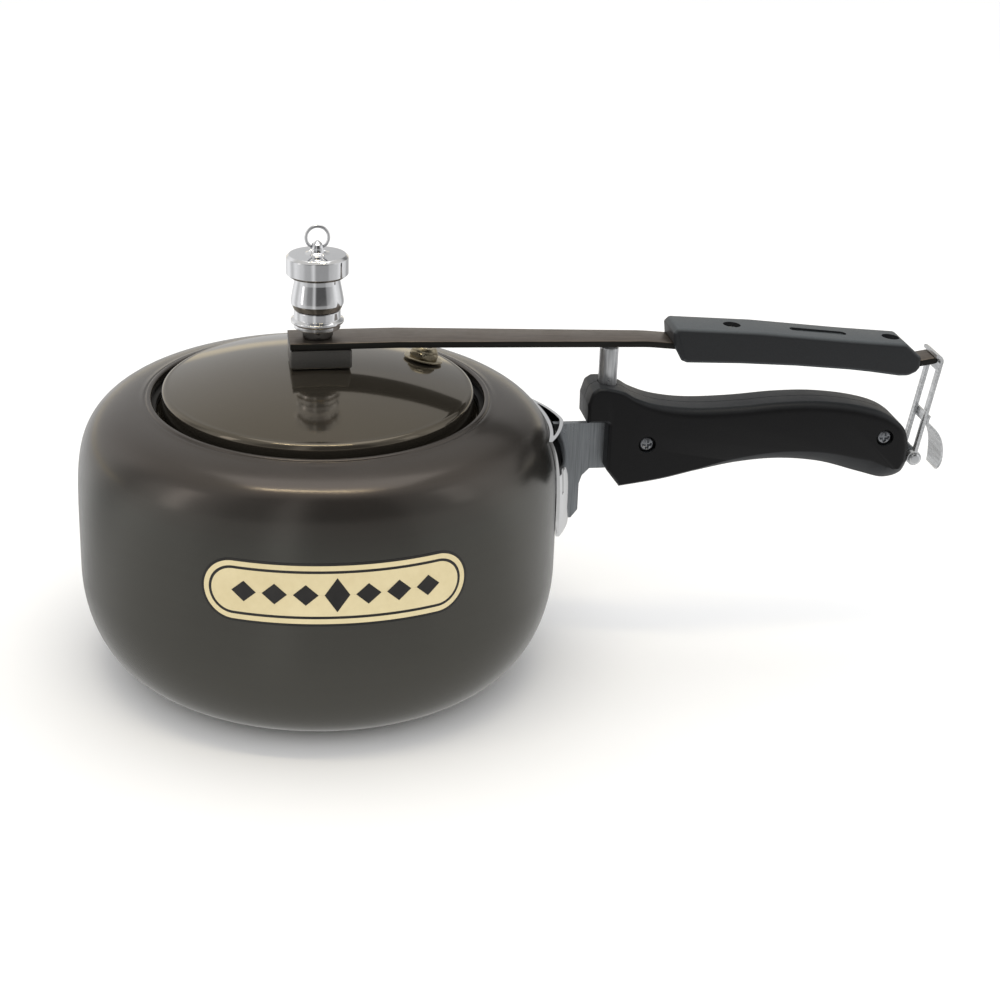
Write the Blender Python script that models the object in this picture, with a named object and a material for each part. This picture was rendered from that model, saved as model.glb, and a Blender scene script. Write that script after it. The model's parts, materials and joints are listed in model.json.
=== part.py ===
"""Stovetop pressure cooker with an inner lid, a lid bar on a post and a latched long handle.

The frame: origin at the centre of the base, +Z up, +X from the pot along the handle.
Lengths are in metres; MM turns a size in millimetres into metres.
"""

import math

import bmesh
import bpy
from mathutils import Matrix, Vector

MM = 0.001
GAP = 0.3 * MM                      # clearance between pieces that touch or sit on each other
ROUND_STEPS = 36                    # facets round the pot, the lid and the gasket

# Pot: a bulging wall under a rounded shoulder, with an oval mouth
POT_RADIUS = 107.5 * MM
POT_HEIGHT = 127.0 * MM             # height that the shoulder curve would reach on the axis
WIDEST_Z = 48.0 * MM
BASE_RADIUS = 78.0 * MM
WALL = 3.0 * MM
BASE_THICKNESS = 4.0 * MM
SHOULDER_POWER = 6.0                # how square the shoulder is
MOUTH_RADIUS = 73.5 * MM            # half the mouth along X
MOUTH_OVAL = 5.5 * MM               # how much longer the mouth's half is along Y
LIP_ROUND = 1.2 * MM
DISC_RADIUS = 71.0 * MM
DISC_THICKNESS = 1.2 * MM

# Lid and gasket
LID_SHEET = 2.2 * MM
LID_CLEARANCE = 4.5 * MM            # between the lid's side wall and the mouth
LID_OVERLAP = 4.7 * MM              # how far the flange reaches under the lip
FLANGE_CLEARANCE = 2.0 * MM         # between the flange and the shoulder
LID_RISE = 13.9 * MM                # lid centre above the pot's rim
LID_EDGE_RISE = 4.4 * MM            # lid edge above the pot's rim
LID_EDGE_ROUND = 2.6 * MM
GASKET_WIDTH = 6.2 * MM
GASKET_HEIGHT = 3.0 * MM

# Lid bar and what clamps it to the lid
BAR_THICKNESS = 3.0 * MM
BAR_START = -12.5 * MM
BAR_WIDE = 20.0 * MM
BAR_NARROW = 15.5 * MM
TONGUE_WIDTH = 12.0 * MM
BAR_LEVEL_END = 35.0 * MM
BAR_FIRST_DROP = 3.3 * MM
BAR_SECOND_DROP = 16.3 * MM
TONGUE_DROP = 15.1 * MM
FOOT_HEIGHT = 8.7 * MM
FOOT_LENGTH = 27.0 * MM
VENT_RADIUS = 4.0 * MM
VENT_TIP_RADIUS = 2.6 * MM
VENT_BORE = 1.3 * MM
VENT_FLANGE_RADIUS = 8.0 * MM
VENT_FLANGE_HEIGHT = 3.0 * MM
VENT_NUT_ACROSS = 13.0 * MM
VENT_NUT_HEIGHT = 3.8 * MM

# Safety valve
VALVE_X = 49.0 * MM
VALVE_Y = 17.0 * MM
VALVE_ACROSS = 14.0 * MM
VALVE_STEM_RADIUS = 4.5 * MM
VALVE_NUT_HEIGHT = 3.5 * MM
PLUG_RADIUS = 2.4 * MM

# Body handle, its steel arm and the post
BRACKET_SHEET = 1.5 * MM
BRACKET_DEPTH = 6.0 * MM
BRACKET_HALF_WIDTH = 29.0 * MM
BRACKET_BOTTOM = 35.2 * MM          # below the middle of the arm
BRACKET_TOP = 12.8 * MM             # above the middle of the arm
ARM_BELOW_RIM = 28.4 * MM
ARM_THICKNESS = 3.0 * MM
ARM_HALF_HEIGHT = 11.0 * MM
ARM_INNER_TOP = 8.6 * MM             # inside the handle, above its middle
ARM_INNER_LOW = 3.6 * MM             # inside the handle, below its middle
HANDLE_OFFSET = 22.2 * MM           # from the pot's wall to the handle's end
HANDLE_LENGTH = 138.9 * MM
HANDLE_WIDTH = 22.0 * MM
HANDLE_EDGE = 2.2 * MM
POST_RADIUS = 4.15 * MM
POST_SHANK_RADIUS = 2.6 * MM
RIVET_RADIUS = 2.2 * MM
RIVET_HEAD_RADIUS = 4.0 * MM
RIVET_SPREAD = 11.0 * MM
SCREW_RADIUS = 2.0 * MM
SCREW_HEAD_RADIUS = 3.3 * MM
SCREW_HEAD_HEIGHT = 2.0 * MM
NUT_ACROSS = 7.0 * MM
NUT_HEIGHT = 2.6 * MM

# Lid handle
LID_HANDLE_OFFSET = 26.1 * MM        # from the post to the lid handle
LID_HANDLE_WIDTH = 21.0 * MM
LID_HANDLE_EDGE = 1.8 * MM

# Latch
LATCH_PIN_RADIUS = 1.5 * MM
LOOP_SHEET = 1.5 * MM
LOOP_WIDTH = 16.0 * MM
LOOP_LEG_WIDTH = 3.0 * MM
HOOK_CLEARANCE = 0.35 * MM
HOOK_ANGLE = math.radians(95)
TAB_SHEET = 1.2 * MM

# Pressure weight
COLLAR_RADIUS = 10.2 * MM
COLLAR_FLANGE_RADIUS = 11.7 * MM
BELL_RADIUS = 11.6 * MM
NECK_RADIUS = 10.0 * MM
CAP_RADIUS = 13.6 * MM
BOSS_RADIUS = 3.1 * MM
RING_RADIUS = 4.9 * MM
RING_WIRE = 0.7 * MM
RING_HOLE = 2.0 * MM

# Heights and places that follow from the sizes above
POT_FLOOR = DISC_THICKNESS + GAP


def shoulder_height(radius, inset=0.0):
    """Height of the shoulder curve at a radius; inset gives the wall's inner face."""
    share = (radius / (POT_RADIUS - inset)) ** SHOULDER_POWER
    return WIDEST_Z + (POT_HEIGHT - inset - WIDEST_Z) * (1 - share) ** (1 / SHOULDER_POWER)


def wall_radius(z, inset=0.0):
    """Radius of the pot's wall at a height; inset gives its inner face."""
    wide = POT_RADIUS - inset
    if z < WIDEST_Z:
        share = (WIDEST_Z - z) / (WIDEST_Z - POT_FLOOR)
        return BASE_RADIUS - inset + (POT_RADIUS - BASE_RADIUS) * math.sqrt(1 - share ** 2)
    share = ((z - WIDEST_Z) / (POT_HEIGHT - inset - WIDEST_Z)) ** SHOULDER_POWER
    return wide * (1 - share) ** (1 / SHOULDER_POWER)


RIM_Z = shoulder_height(MOUTH_RADIUS)
OVAL_RATIO = (MOUTH_RADIUS + MOUTH_OVAL) / MOUTH_RADIUS
LID_WALL = MOUTH_RADIUS - LID_CLEARANCE
FLANGE_RADIUS = MOUTH_RADIUS + LID_OVERLAP
SEAT_RADIUS = FLANGE_RADIUS + FLANGE_CLEARANCE
SEAT_Z = shoulder_height(SEAT_RADIUS, WALL)      # flat underside of the lip
FLANGE_TOP = SEAT_Z - GASKET_HEIGHT - 2 * GAP
LID_TOP = RIM_Z + LID_RISE
LID_EDGE = RIM_Z + LID_EDGE_RISE
BAR_Z = LID_TOP + FOOT_HEIGHT + 2 * GAP         # underside of the bar over the lid
BAR_TOP = BAR_Z + BAR_THICKNESS
ARM_Z = RIM_Z - ARM_BELOW_RIM
HANDLE_X = POT_RADIUS + HANDLE_OFFSET
HANDLE_END = HANDLE_X + HANDLE_LENGTH
POST_X = HANDLE_X + 0.3 * MM
LATCH_X = HANDLE_END + 3.65 * MM
LATCH_Z = ARM_Z - 8.2 * MM
EYE_RADIUS = LATCH_PIN_RADIUS + GAP + LOOP_SHEET
LID_HANDLE_X = POST_X + LID_HANDLE_OFFSET
LID_HANDLE_LENGTH = HANDLE_END + 0.6 * MM - LID_HANDLE_X
BAR_BEND = LID_HANDLE_X - 10.1 * MM
TIP_X = LATCH_X + 4.75 * MM
BAR_STATIONS = (
    (BAR_START, 0.0),
    (BAR_LEVEL_END, 0.0),
    (BAR_BEND, BAR_FIRST_DROP),
    (LATCH_X - 2.25 * MM, BAR_SECOND_DROP),
    (TIP_X, TONGUE_DROP),
)
HANDLE_SCREWS = (HANDLE_X + 17.7 * MM, HANDLE_END - 12.2 * MM)
HANDLE_SCREW_Z = ARM_Z + 3.3 * MM
LID_HANDLE_SCREWS = (LID_HANDLE_X + 28.5 * MM, HANDLE_END - 11.1 * MM)
NUT_TOP = BAR_TOP + GAP + VENT_NUT_HEIGHT
COLLAR_Z = NUT_TOP + GAP
COLLAR_HEIGHT = 8.3 * MM
BELL_Z = COLLAR_Z + COLLAR_HEIGHT + GAP
NECK_Z = BELL_Z + 12.5 * MM
CAP_Z = NECK_Z + 2.6 * MM
CAP_TOP = CAP_Z + 9.3 * MM
VENT_TIP = BELL_Z + 5.0 * MM
RING_PIVOT_Z = CAP_TOP + 2.3 * MM
RING_CENTRE_Z = RING_PIVOT_Z + RING_RADIUS


def bar_middle(x):
    """Height of the bar's middle line at x, straight between its stations."""
    level = BAR_Z + BAR_THICKNESS / 2
    for (x0, drop0), (x1, drop1) in zip(BAR_STATIONS, BAR_STATIONS[1:]):
        if x <= x1:
            share = (x - x0) / (x1 - x0)
            return level - drop0 - (drop1 - drop0) * share
    return level - TONGUE_DROP


TIP_Z = bar_middle(TIP_X)
ROCK_Z = bar_middle(POST_X) - BAR_THICKNESS / 2

# A body's empty stands on its joint's axis
BODY_ORIGINS = {
    "cooker": (0, 0, 0),
    "lid_assembly": (POST_X, 0, ROCK_Z),
    "latch": (LATCH_X, 0, LATCH_Z),
    "weight": (0, 0, COLLAR_Z),
    "ring": (0, 0, RING_PIVOT_Z),
}

MATERIALS = {
    "dark_anodised": ((0.075, 0.070, 0.062), 0.38, 0.8),
    "lid_anodised": ((0.130, 0.115, 0.090), 0.25, 0.9),
    "bar_finish": ((0.150, 0.130, 0.110), 0.35, 0.9),
    "chrome": ((0.80, 0.80, 0.81), 0.08, 1.0),
    "brushed_steel": ((0.52, 0.53, 0.54), 0.32, 1.0),
    "black_plastic": ((0.012, 0.012, 0.013), 0.42, 0.0),
    "slate_plastic": ((0.030, 0.034, 0.038), 0.45, 0.0),
    "rubber": ((0.02, 0.02, 0.02), 0.8, 0.0),
    "brass": ((0.55, 0.42, 0.18), 0.3, 1.0),
    "fuse_alloy": ((0.45, 0.45, 0.43), 0.45, 1.0),
}


def clear_scene():
    for obj in list(bpy.data.objects):
        bpy.data.objects.remove(obj, do_unlink=True)


def make_materials():
    for name, (colour, roughness, metallic) in MATERIALS.items():
        mat = bpy.data.materials.new(name)
        mat.use_nodes = True
        shader = mat.node_tree.nodes["Principled BSDF"]
        shader.inputs["Base Color"].default_value = (*colour, 1)
        shader.inputs["Roughness"].default_value = roughness
        shader.inputs["Metallic"].default_value = metallic


def make_bodies():
    for name, origin in BODY_ORIGINS.items():
        empty = bpy.data.objects.new(name + "_origin", None)
        empty.location = origin
        bpy.context.scene.collection.objects.link(empty)


def add_piece(name, bm, material, body="cooker", sharp=35):
    """Close off a bmesh as a named object that hangs on its body's empty."""
    bmesh.ops.recalc_face_normals(bm, faces=bm.faces)
    origin = Vector(BODY_ORIGINS[body])
    bmesh.ops.translate(bm, verts=bm.verts, vec=-origin)
    mesh = bpy.data.meshes.new(name)
    bm.to_mesh(mesh)
    bm.free()
    mesh.materials.append(bpy.data.materials[material])
    mesh.shade_smooth()
    mesh.set_sharp_from_angle(angle=math.radians(sharp))
    obj = bpy.data.objects.new(name, mesh)
    obj.parent = bpy.data.objects[body + "_origin"]
    bpy.context.scene.collection.objects.link(obj)
    return obj


def cut(obj, bm, name):
    """Subtract a cutter's shape from an object."""
    bmesh.ops.recalc_face_normals(bm, faces=bm.faces)
    mesh = bpy.data.meshes.new(name)
    bm.to_mesh(mesh)
    bm.free()
    cutter = bpy.data.objects.new(name, mesh)
    cutter.hide_render = True
    cutter.display_type = "WIRE"
    bpy.context.scene.collection.objects.link(cutter)
    modifier = obj.modifiers.new(name, "BOOLEAN")
    modifier.operation = "DIFFERENCE"
    modifier.solver = "EXACT"
    modifier.object = cutter


def turned(profile, steps, closed=False):
    """Spin a profile of (radius, z) points round the Z axis."""
    bm = bmesh.new()
    verts = [bm.verts.new((r, 0, z)) for r, z in profile]
    pairs = list(zip(verts, verts[1:]))
    if closed:
        pairs.append((verts[-1], verts[0]))
    edges = [bm.edges.new(pair) for pair in pairs]
    bmesh.ops.spin(bm, geom=verts + edges, cent=(0, 0, 0), axis=(0, 0, 1),
                   angle=2 * math.pi, steps=steps)
    bmesh.ops.remove_doubles(bm, verts=bm.verts, dist=0.001 * MM)
    return bm


def side_plate(outline, low_y, high_y):
    """Extrude an outline of (x, z) points from low_y to high_y."""
    bm = bmesh.new()
    face = bm.faces.new([bm.verts.new((x, low_y, z)) for x, z in outline])
    raised = bmesh.ops.extrude_face_region(bm, geom=[face])
    verts = [item for item in raised["geom"] if isinstance(item, bmesh.types.BMVert)]
    bmesh.ops.translate(bm, verts=verts, vec=(0, high_y - low_y, 0))
    return bm


def cylinder(radius, start, end, steps=24):
    """A plain round bar from start to end."""
    start, end = Vector(start), Vector(end)
    bm = bmesh.new()
    bmesh.ops.create_cone(bm, cap_ends=True, segments=steps, radius1=radius, radius2=radius,
                          depth=(end - start).length)
    turn = (end - start).to_track_quat("Z", "Y").to_matrix().to_4x4()
    bmesh.ops.transform(bm, verts=bm.verts, matrix=Matrix.Translation((start + end) / 2) @ turn)
    return bm


def box(low, high):
    bm = bmesh.new()
    bmesh.ops.create_cube(bm, size=1)
    for vert in bm.verts:
        vert.co = [lo + (c + 0.5) * (hi - lo) for c, lo, hi in zip(vert.co, low, high)]
    return bm


def place(bm, axis, position):
    """Turn a shape built along Z so that it runs along axis, and move it to position."""
    turn = Vector(axis).to_track_quat("Z", "Y").to_matrix().to_4x4()
    bmesh.ops.transform(bm, verts=bm.verts, matrix=Matrix.Translation(position) @ turn)
    return bm


def hexagon_nut(across, height, hole):
    """A hexagon nut on Z = 0 with a plain round hole."""
    bm = bmesh.new()
    rings = []
    for z in (0.0, height):
        outer = []
        inner = []
        for step in range(24):
            angle = 2 * math.pi * step / 24
            side = (angle + math.pi / 6) % (math.pi / 3) - math.pi / 6
            reach = across / 2 / math.cos(side)
            outer.append(bm.verts.new((reach * math.cos(angle), reach * math.sin(angle), z)))
            inner.append(bm.verts.new((hole * math.cos(angle), hole * math.sin(angle), z)))
        rings.append((outer, inner))
    (low_out, low_in), (high_out, high_in) = rings
    for loop_a, loop_b in ((low_out, high_out), (high_out, high_in), (high_in, low_in), (low_in, low_out)):
        for i in range(24):
            j = (i + 1) % 24
            bm.faces.new((loop_a[i], loop_a[j], loop_b[j], loop_b[i]))
    return bm


def arc(centre, radius, start, end, steps):
    """Points on an arc from the angle start to the angle end."""
    angles = [start + (end - start) * i / steps for i in range(steps + 1)]
    return [(centre[0] + radius * math.cos(a), centre[1] + radius * math.sin(a)) for a in angles]


def smooth(points, steps=4):
    """A Catmull-Rom curve through points, with steps stretches between each pair."""
    points = [Vector(p) for p in points]
    padded = [2 * points[0] - points[1]] + points + [2 * points[-1] - points[-2]]
    curve = []
    for p0, p1, p2, p3 in zip(padded, padded[1:], padded[2:], padded[3:]):
        for i in range(steps):
            t = i / steps
            curve.append(0.5 * (2 * p1 + (p2 - p0) * t + (2 * p0 - 5 * p1 + 4 * p2 - p3) * t ** 2
                                + (3 * p1 - p0 - 3 * p2 + p3) * t ** 3))
    curve.append(points[-1])
    return [tuple(p) for p in curve]


def strip_outline(path, half):
    """Outline of a strip of sheet along a path: its left side out, then its right side back."""
    path = [Vector(p) for p in path]
    normals = []
    for i, point in enumerate(path):
        along = path[min(i + 1, len(path) - 1)] - path[max(i - 1, 0)]
        normals.append(Vector((-along.y, along.x)).normalized())
    left = [tuple(p + n * half) for p, n in zip(path, normals)]
    right = [tuple(p - n * half) for p, n in zip(path, normals)]
    return left + right[::-1]


# ---- pot ----

def stretch_mouth(bm):
    """Make the shoulder oval: stretch along Y that grows from the widest level to the lip."""
    for vert in bm.verts:
        share = min(max((vert.co.z - WIDEST_Z) / (SEAT_Z - WIDEST_Z), 0), 1)
        vert.co.y *= 1 + (OVAL_RATIO - 1) * share ** SHOULDER_POWER


def shoulder_points(inset, last_radius, steps):
    """Shoulder curve from the widest level to last_radius, evenly spaced in direction."""
    wide = POT_RADIUS - inset
    tall = POT_HEIGHT - inset - WIDEST_Z
    end = math.atan2((shoulder_height(last_radius, inset) - WIDEST_Z) / tall, last_radius / wide)
    points = []
    for i in range(steps + 1):
        angle = end * i / steps
        reach = (math.cos(angle) ** SHOULDER_POWER + math.sin(angle) ** SHOULDER_POWER) ** (-1 / SHOULDER_POWER)
        points.append((wide * reach * math.cos(angle), WIDEST_Z + tall * reach * math.sin(angle)))
    return points


def belly_points(base_radius, base_z, inset, steps):
    """Quarter ellipse from the base up to the widest level."""
    points = []
    for i in range(steps):
        angle = math.pi / 2 * i / steps
        points.append((base_radius + (POT_RADIUS - inset - base_radius) * math.sin(angle),
                       WIDEST_Z - (WIDEST_Z - base_z) * math.cos(angle)))
    return points


def make_pot():
    inner_floor = POT_FLOOR + BASE_THICKNESS
    outer = [(0, POT_FLOOR)] + belly_points(BASE_RADIUS, POT_FLOOR, 0, 6)
    outer += shoulder_points(0, MOUTH_RADIUS + LIP_ROUND, 11)
    lip = [(MOUTH_RADIUS + 0.3 * LIP_ROUND, RIM_Z - 0.3 * LIP_ROUND), (MOUTH_RADIUS, RIM_Z - LIP_ROUND),
           (MOUTH_RADIUS, SEAT_Z + LIP_ROUND), (MOUTH_RADIUS + LIP_ROUND, SEAT_Z)]
    inner = shoulder_points(WALL, SEAT_RADIUS, 9)[::-1]
    inner += belly_points(BASE_RADIUS - WALL, inner_floor, WALL, 6)[::-1]
    bm = turned(outer + lip + inner + [(0, inner_floor)], ROUND_STEPS)
    stretch_mouth(bm)
    pot = add_piece("pot_body", bm, "dark_anodised")
    for number, (y, z) in enumerate(rivet_places(), 1):
        hole = cylinder(RIVET_RADIUS + GAP, (rivet_seat(y, z) - 12 * MM, y, z), (HANDLE_X, y, z), 12)
        cut(pot, hole, f"pot_rivet_hole_{number}")


def make_disc():
    edge = 0.4 * MM
    profile = [(0, 0), (DISC_RADIUS - edge, 0), (DISC_RADIUS, edge), (DISC_RADIUS, DISC_THICKNESS),
               (0, DISC_THICKNESS)]
    add_piece("induction_base", turned(profile, ROUND_STEPS), "brushed_steel")


# ---- handle bracket, rivets and arm ----

def rivet_places():
    return [(side * RIVET_SPREAD, ARM_Z + dz) for dz in (-24.0 * MM, 1.0 * MM) for side in (-1, 1)]


def rivet_seat(y, z):
    """X of the pot's outer wall at a rivet."""
    return math.sqrt(wall_radius(z) ** 2 - y ** 2)


def bracket_loop(z, low, high, reach):
    """Loop of points at height z: along the pot at offset low, back over the ridge at high."""
    count = 10
    base = wall_radius(z) + GAP
    points = []
    for i in range(count + 1):
        angle = reach * (2 * i / count - 1)
        points.append((base + low, angle))
    for i in range(count + 1):
        angle = reach * (1 - 2 * i / count)
        points.append((base + max(high(abs(angle)), low + 0.25 * MM), angle))
    return [(r * math.cos(a), r * math.sin(a), z) for r, a in points]


def make_bracket():
    """A V channel: a web on the pot and two wings that meet in a ridge round the arm."""
    low, high = ARM_Z - BRACKET_BOTTOM, ARM_Z + BRACKET_TOP
    corner = 12 * MM
    bm = bmesh.new()
    outers, inners = [], []
    for share in (0, 0.05, 0.15, 0.3, 0.5, 0.62, 0.72, 0.8, 0.87, 0.94, 1):
        z = low + (high - low) * share
        rise = min((z - low) / corner, 1)
        width = BRACKET_HALF_WIDTH - 8 * MM * (1 - math.sqrt(1 - (1 - rise) ** 2))
        reach = width / POT_RADIUS

        def ridge(angle):
            return BRACKET_DEPTH * (1 - (angle / reach) ** 1.25)

        outer = bracket_loop(z, 0, lambda a: ridge(a) + BRACKET_SHEET, reach)
        inner = bracket_loop(z, BRACKET_SHEET, ridge, reach * 0.72)
        outers.append([bm.verts.new(p) for p in outer])
        inners.append([bm.verts.new(p) for p in inner])
    count = len(outers[0])
    strips = list(zip(outers, outers[1:])) + list(zip(inners, inners[1:]))
    strips += [(outers[0], inners[0]), (outers[-1], inners[-1])]
    for loop_a, loop_b in strips:
        for i in range(count):
            j = (i + 1) % count
            bm.faces.new((loop_a[i], loop_a[j], loop_b[j], loop_b[i]))
    bracket = add_piece("handle_bracket", bm, "chrome")
    for number, (y, z) in enumerate(rivet_places(), 1):
        seat = rivet_seat(y, z)
        hole = cylinder(RIVET_RADIUS + GAP, (seat - 5 * MM, y, z), (seat + BRACKET_SHEET + 1.2 * MM, y, z), 12)
        cut(bracket, hole, f"bracket_rivet_hole_{number}")
    slit = [(arm_left(z) - GAP, z) for z in arm_levels(low - 6 * MM, high + 6 * MM)]
    slit += [(HANDLE_X, high + 6 * MM), (HANDLE_X, low - 6 * MM)]
    half = ARM_THICKNESS / 2 + GAP
    cut(bracket, side_plate(slit, -half, half), "bracket_slit")


def arm_levels(low, high):
    return [low + (high - low) * i / 6 for i in range(7)]


def arm_left(z):
    """X of the arm's edge inside the bracket, clear of the web."""
    return wall_radius(min(z, RIM_Z - 8 * MM)) + GAP + BRACKET_SHEET + 3 * GAP


def arm_outline(extra=0.0):
    """Side outline of the arm; extra makes it larger all round inside the handle."""
    low = ARM_Z - BRACKET_BOTTOM
    fin = POT_RADIUS + 11.8 * MM
    step = HANDLE_X + 1.3 * MM + extra
    tall = ARM_HALF_HEIGHT + extra
    upper = ARM_Z + ARM_INNER_TOP + extra
    lower = ARM_Z - ARM_INNER_LOW - extra
    end = HANDLE_END - 6.6 * MM
    left = [(arm_left(z), z) for z in arm_levels(low, ARM_Z + ARM_HALF_HEIGHT)]
    top = [(step, ARM_Z + tall), (step, upper), (end - 22 * MM, upper), (end, upper - 3.6 * MM)]
    eye = arc((LATCH_X, LATCH_Z), EYE_RADIUS + extra, math.radians(75), math.radians(-105), 10)
    bottom = [(end, lower - 6.0 * MM), (end - 22 * MM, lower), (step, lower), (step, ARM_Z - tall),
              (fin + 4.4 * MM, ARM_Z - tall), (fin + 1.2 * MM, ARM_Z - 14.4 * MM),
              (fin, ARM_Z - 18.4 * MM), (fin, low + 4 * MM), (fin - 3 * MM, low)]
    return left[1:] + top + eye + bottom + left[:1]


def make_arm():
    half = ARM_THICKNESS / 2
    arm = add_piece("handle_arm", side_plate(arm_outline(), -half, half), "brushed_steel")
    for number, x in enumerate(HANDLE_SCREWS, 1):
        hole = cylinder(SCREW_RADIUS + GAP, (x, -HANDLE_WIDTH, HANDLE_SCREW_Z),
                        (x, HANDLE_WIDTH, HANDLE_SCREW_Z), 16)
        cut(arm, hole, f"arm_screw_hole_{number}")
    hole = cylinder(LATCH_PIN_RADIUS + GAP, (LATCH_X, -HANDLE_WIDTH, LATCH_Z),
                    (LATCH_X, HANDLE_WIDTH, LATCH_Z), 16)
    cut(arm, hole, "arm_eye_hole")


def make_rivets():
    """Rivets through the pot's wall and the bracket's web, with a low head on each side."""
    for number, (y, z) in enumerate(rivet_places(), 1):
        low, high = z - RIVET_HEAD_RADIUS, z + RIVET_HEAD_RADIUS
        near, far = abs(y) - RIVET_HEAD_RADIUS, abs(y) + RIVET_HEAD_RADIUS
        web = max(wall_radius(low), wall_radius(high)) + GAP + BRACKET_SHEET
        outside = math.sqrt(web ** 2 - near ** 2) + GAP
        wall = min(wall_radius(low, WALL), wall_radius(high, WALL))
        inside = math.sqrt(wall ** 2 - far ** 2) * math.cos(math.pi / ROUND_STEPS) - GAP
        head, r = 0.9 * MM, RIVET_HEAD_RADIUS
        profile = [(0, inside - head), (0.6 * r, inside - 0.8 * head), (r, inside - 0.2 * head), (r, inside),
                   (RIVET_RADIUS, inside), (RIVET_RADIUS, outside), (0.8 * r, outside),
                   (0.8 * r, outside + 0.2 * head), (0.5 * r, outside + 0.8 * head), (0, outside + head)]
        bm = place(turned(profile, 12), (1, 0, 0), (0, y, z))
        add_piece(f"bracket_rivet_{number}", bm, "brushed_steel")


# ---- body handle ----

def handle_outline():
    """Side outline of the body handle: boss on the left, waist, palm swell, drooped end."""
    def at(share, height):
        return (HANDLE_X + share * HANDLE_LENGTH, ARM_Z + height * MM)

    boss_left = POST_X - 10 * MM
    boss = [(boss_left, ARM_Z + 14 * MM), (boss_left - 0.2 * MM, ARM_Z + 22.8 * MM),
            (boss_left + 1.6 * MM, ARM_Z + 28.6 * MM), (boss_left + 4.4 * MM, ARM_Z + 30.4 * MM)]
    top = smooth([(boss_left + 8 * MM, ARM_Z + 30.4 * MM), at(0.045, 28.2), at(0.0885, 24.8), at(0.16, 21.4),
                  at(0.276, 19.3), at(0.42, 19.5), at(0.564, 20.9), at(0.693, 20.8), at(0.823, 18.3),
                  at(0.9165, 14.0), at(0.978, 7.2), at(1.0, -1.2)], 3)
    low = smooth([at(1.0, -9.0), at(0.981, -14.9), at(0.931, -17.6), at(0.8445, -14.4), at(0.708, -8.7),
                  at(0.571, -6.3), at(0.434, -7.1), at(0.3045, -10.1), at(0.182, -14.0), at(0.045, -16.9)], 3)
    return boss + top + low + [at(0, -8.7), at(0, 14)]


def make_handle_shells():
    recess_half = ARM_THICKNESS / 2 + GAP
    for name, side in (("handle_shell_front", -1), ("handle_shell_back", 1)):
        bm = side_plate(handle_outline(), side * GAP / 2, side * HANDLE_WIDTH / 2)
        rim = [e for e in bm.edges if all(abs(abs(v.co.y) - HANDLE_WIDTH / 2) < 0.01 * MM for v in e.verts)]
        bmesh.ops.bevel(bm, geom=rim, offset=HANDLE_EDGE, segments=2, profile=0.6, affect="EDGES")
        shell = add_piece(name, bm, "black_plastic")
        cut(shell, side_plate(arm_outline(GAP), -recess_half, recess_half), name + "_recess")
        pocket = cylinder(POST_RADIUS + GAP, (POST_X, 0, post_step() - GAP), (POST_X, 0, ROCK_Z), 20)
        cut(shell, pocket, name + "_post_pocket")
        shank = cylinder(POST_SHANK_RADIUS + GAP, (POST_X, 0, ARM_Z + ARM_HALF_HEIGHT), (POST_X, 0, ROCK_Z), 16)
        cut(shell, shank, name + "_post_hole")
        for number, x in enumerate(HANDLE_SCREWS, 1):
            through = cylinder(SCREW_RADIUS + GAP, (x, -HANDLE_WIDTH, HANDLE_SCREW_Z),
                               (x, HANDLE_WIDTH, HANDLE_SCREW_Z), 16)
            cut(shell, through, f"{name}_screw_hole_{number}")
            floor = HANDLE_WIDTH / 2 - (SCREW_HEAD_HEIGHT if side < 0 else NUT_HEIGHT) - 0.8 * MM
            width = (SCREW_HEAD_RADIUS if side < 0 else NUT_ACROSS / math.sqrt(3)) + 0.6 * MM
            sink = cylinder(width, (x, side * floor, HANDLE_SCREW_Z),
                            (x, side * HANDLE_WIDTH, HANDLE_SCREW_Z), 16)
            cut(shell, sink, f"{name}_sink_{number}")


def screw_profile(length):
    """A pan head screw on Z = 0, its shank running down by length, with a driver recess."""
    r, h = SCREW_HEAD_RADIUS, SCREW_HEAD_HEIGHT
    return [(0, h - 1.1 * MM), (0.9 * MM, h - 0.9 * MM), (1.1 * MM, h), (0.7 * r, 0.95 * h),
            (0.95 * r, 0.6 * h), (r, 0), (SCREW_RADIUS, 0), (SCREW_RADIUS, -length), (0, -length)]


def make_handle_screws():
    head_y = -(HANDLE_WIDTH / 2 - SCREW_HEAD_HEIGHT - 0.8 * MM) - GAP
    nut_y = HANDLE_WIDTH / 2 - NUT_HEIGHT - 0.8 * MM + GAP
    length = nut_y - head_y + NUT_HEIGHT
    for number, x in enumerate(HANDLE_SCREWS, 1):
        screw = place(turned(screw_profile(length), 16), (0, -1, 0), (x, head_y, HANDLE_SCREW_Z))
        add_piece(f"handle_screw_{number}", screw, "brushed_steel")
        nut = place(hexagon_nut(NUT_ACROSS, NUT_HEIGHT, SCREW_RADIUS + GAP), (0, 1, 0),
                    (x, nut_y, HANDLE_SCREW_Z))
        add_piece(f"handle_nut_{number}", nut, "brushed_steel")


def post_step():
    return ARM_Z + 20.8 * MM


def make_post():
    """Round post whose domed top carries the lid bar."""
    top = ROCK_Z - GAP
    dome = arc((0, top - POST_RADIUS * 0.6), POST_RADIUS, 0, math.pi / 2, 5)
    crown = [(r, top - POST_RADIUS * 0.6 + (z - top + POST_RADIUS * 0.6) * 0.6) for r, z in dome]
    profile = [(0, ARM_Z + ARM_HALF_HEIGHT + 2 * GAP), (POST_SHANK_RADIUS, ARM_Z + ARM_HALF_HEIGHT + 2 * GAP),
               (POST_SHANK_RADIUS, post_step()), (POST_RADIUS, post_step())] + crown[:-1] + [(0, top)]
    bm = turned(profile, 20)
    bmesh.ops.translate(bm, verts=bm.verts, vec=(POST_X, 0, 0))
    add_piece("support_post", bm, "brushed_steel")


# ---- latch ----

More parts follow.
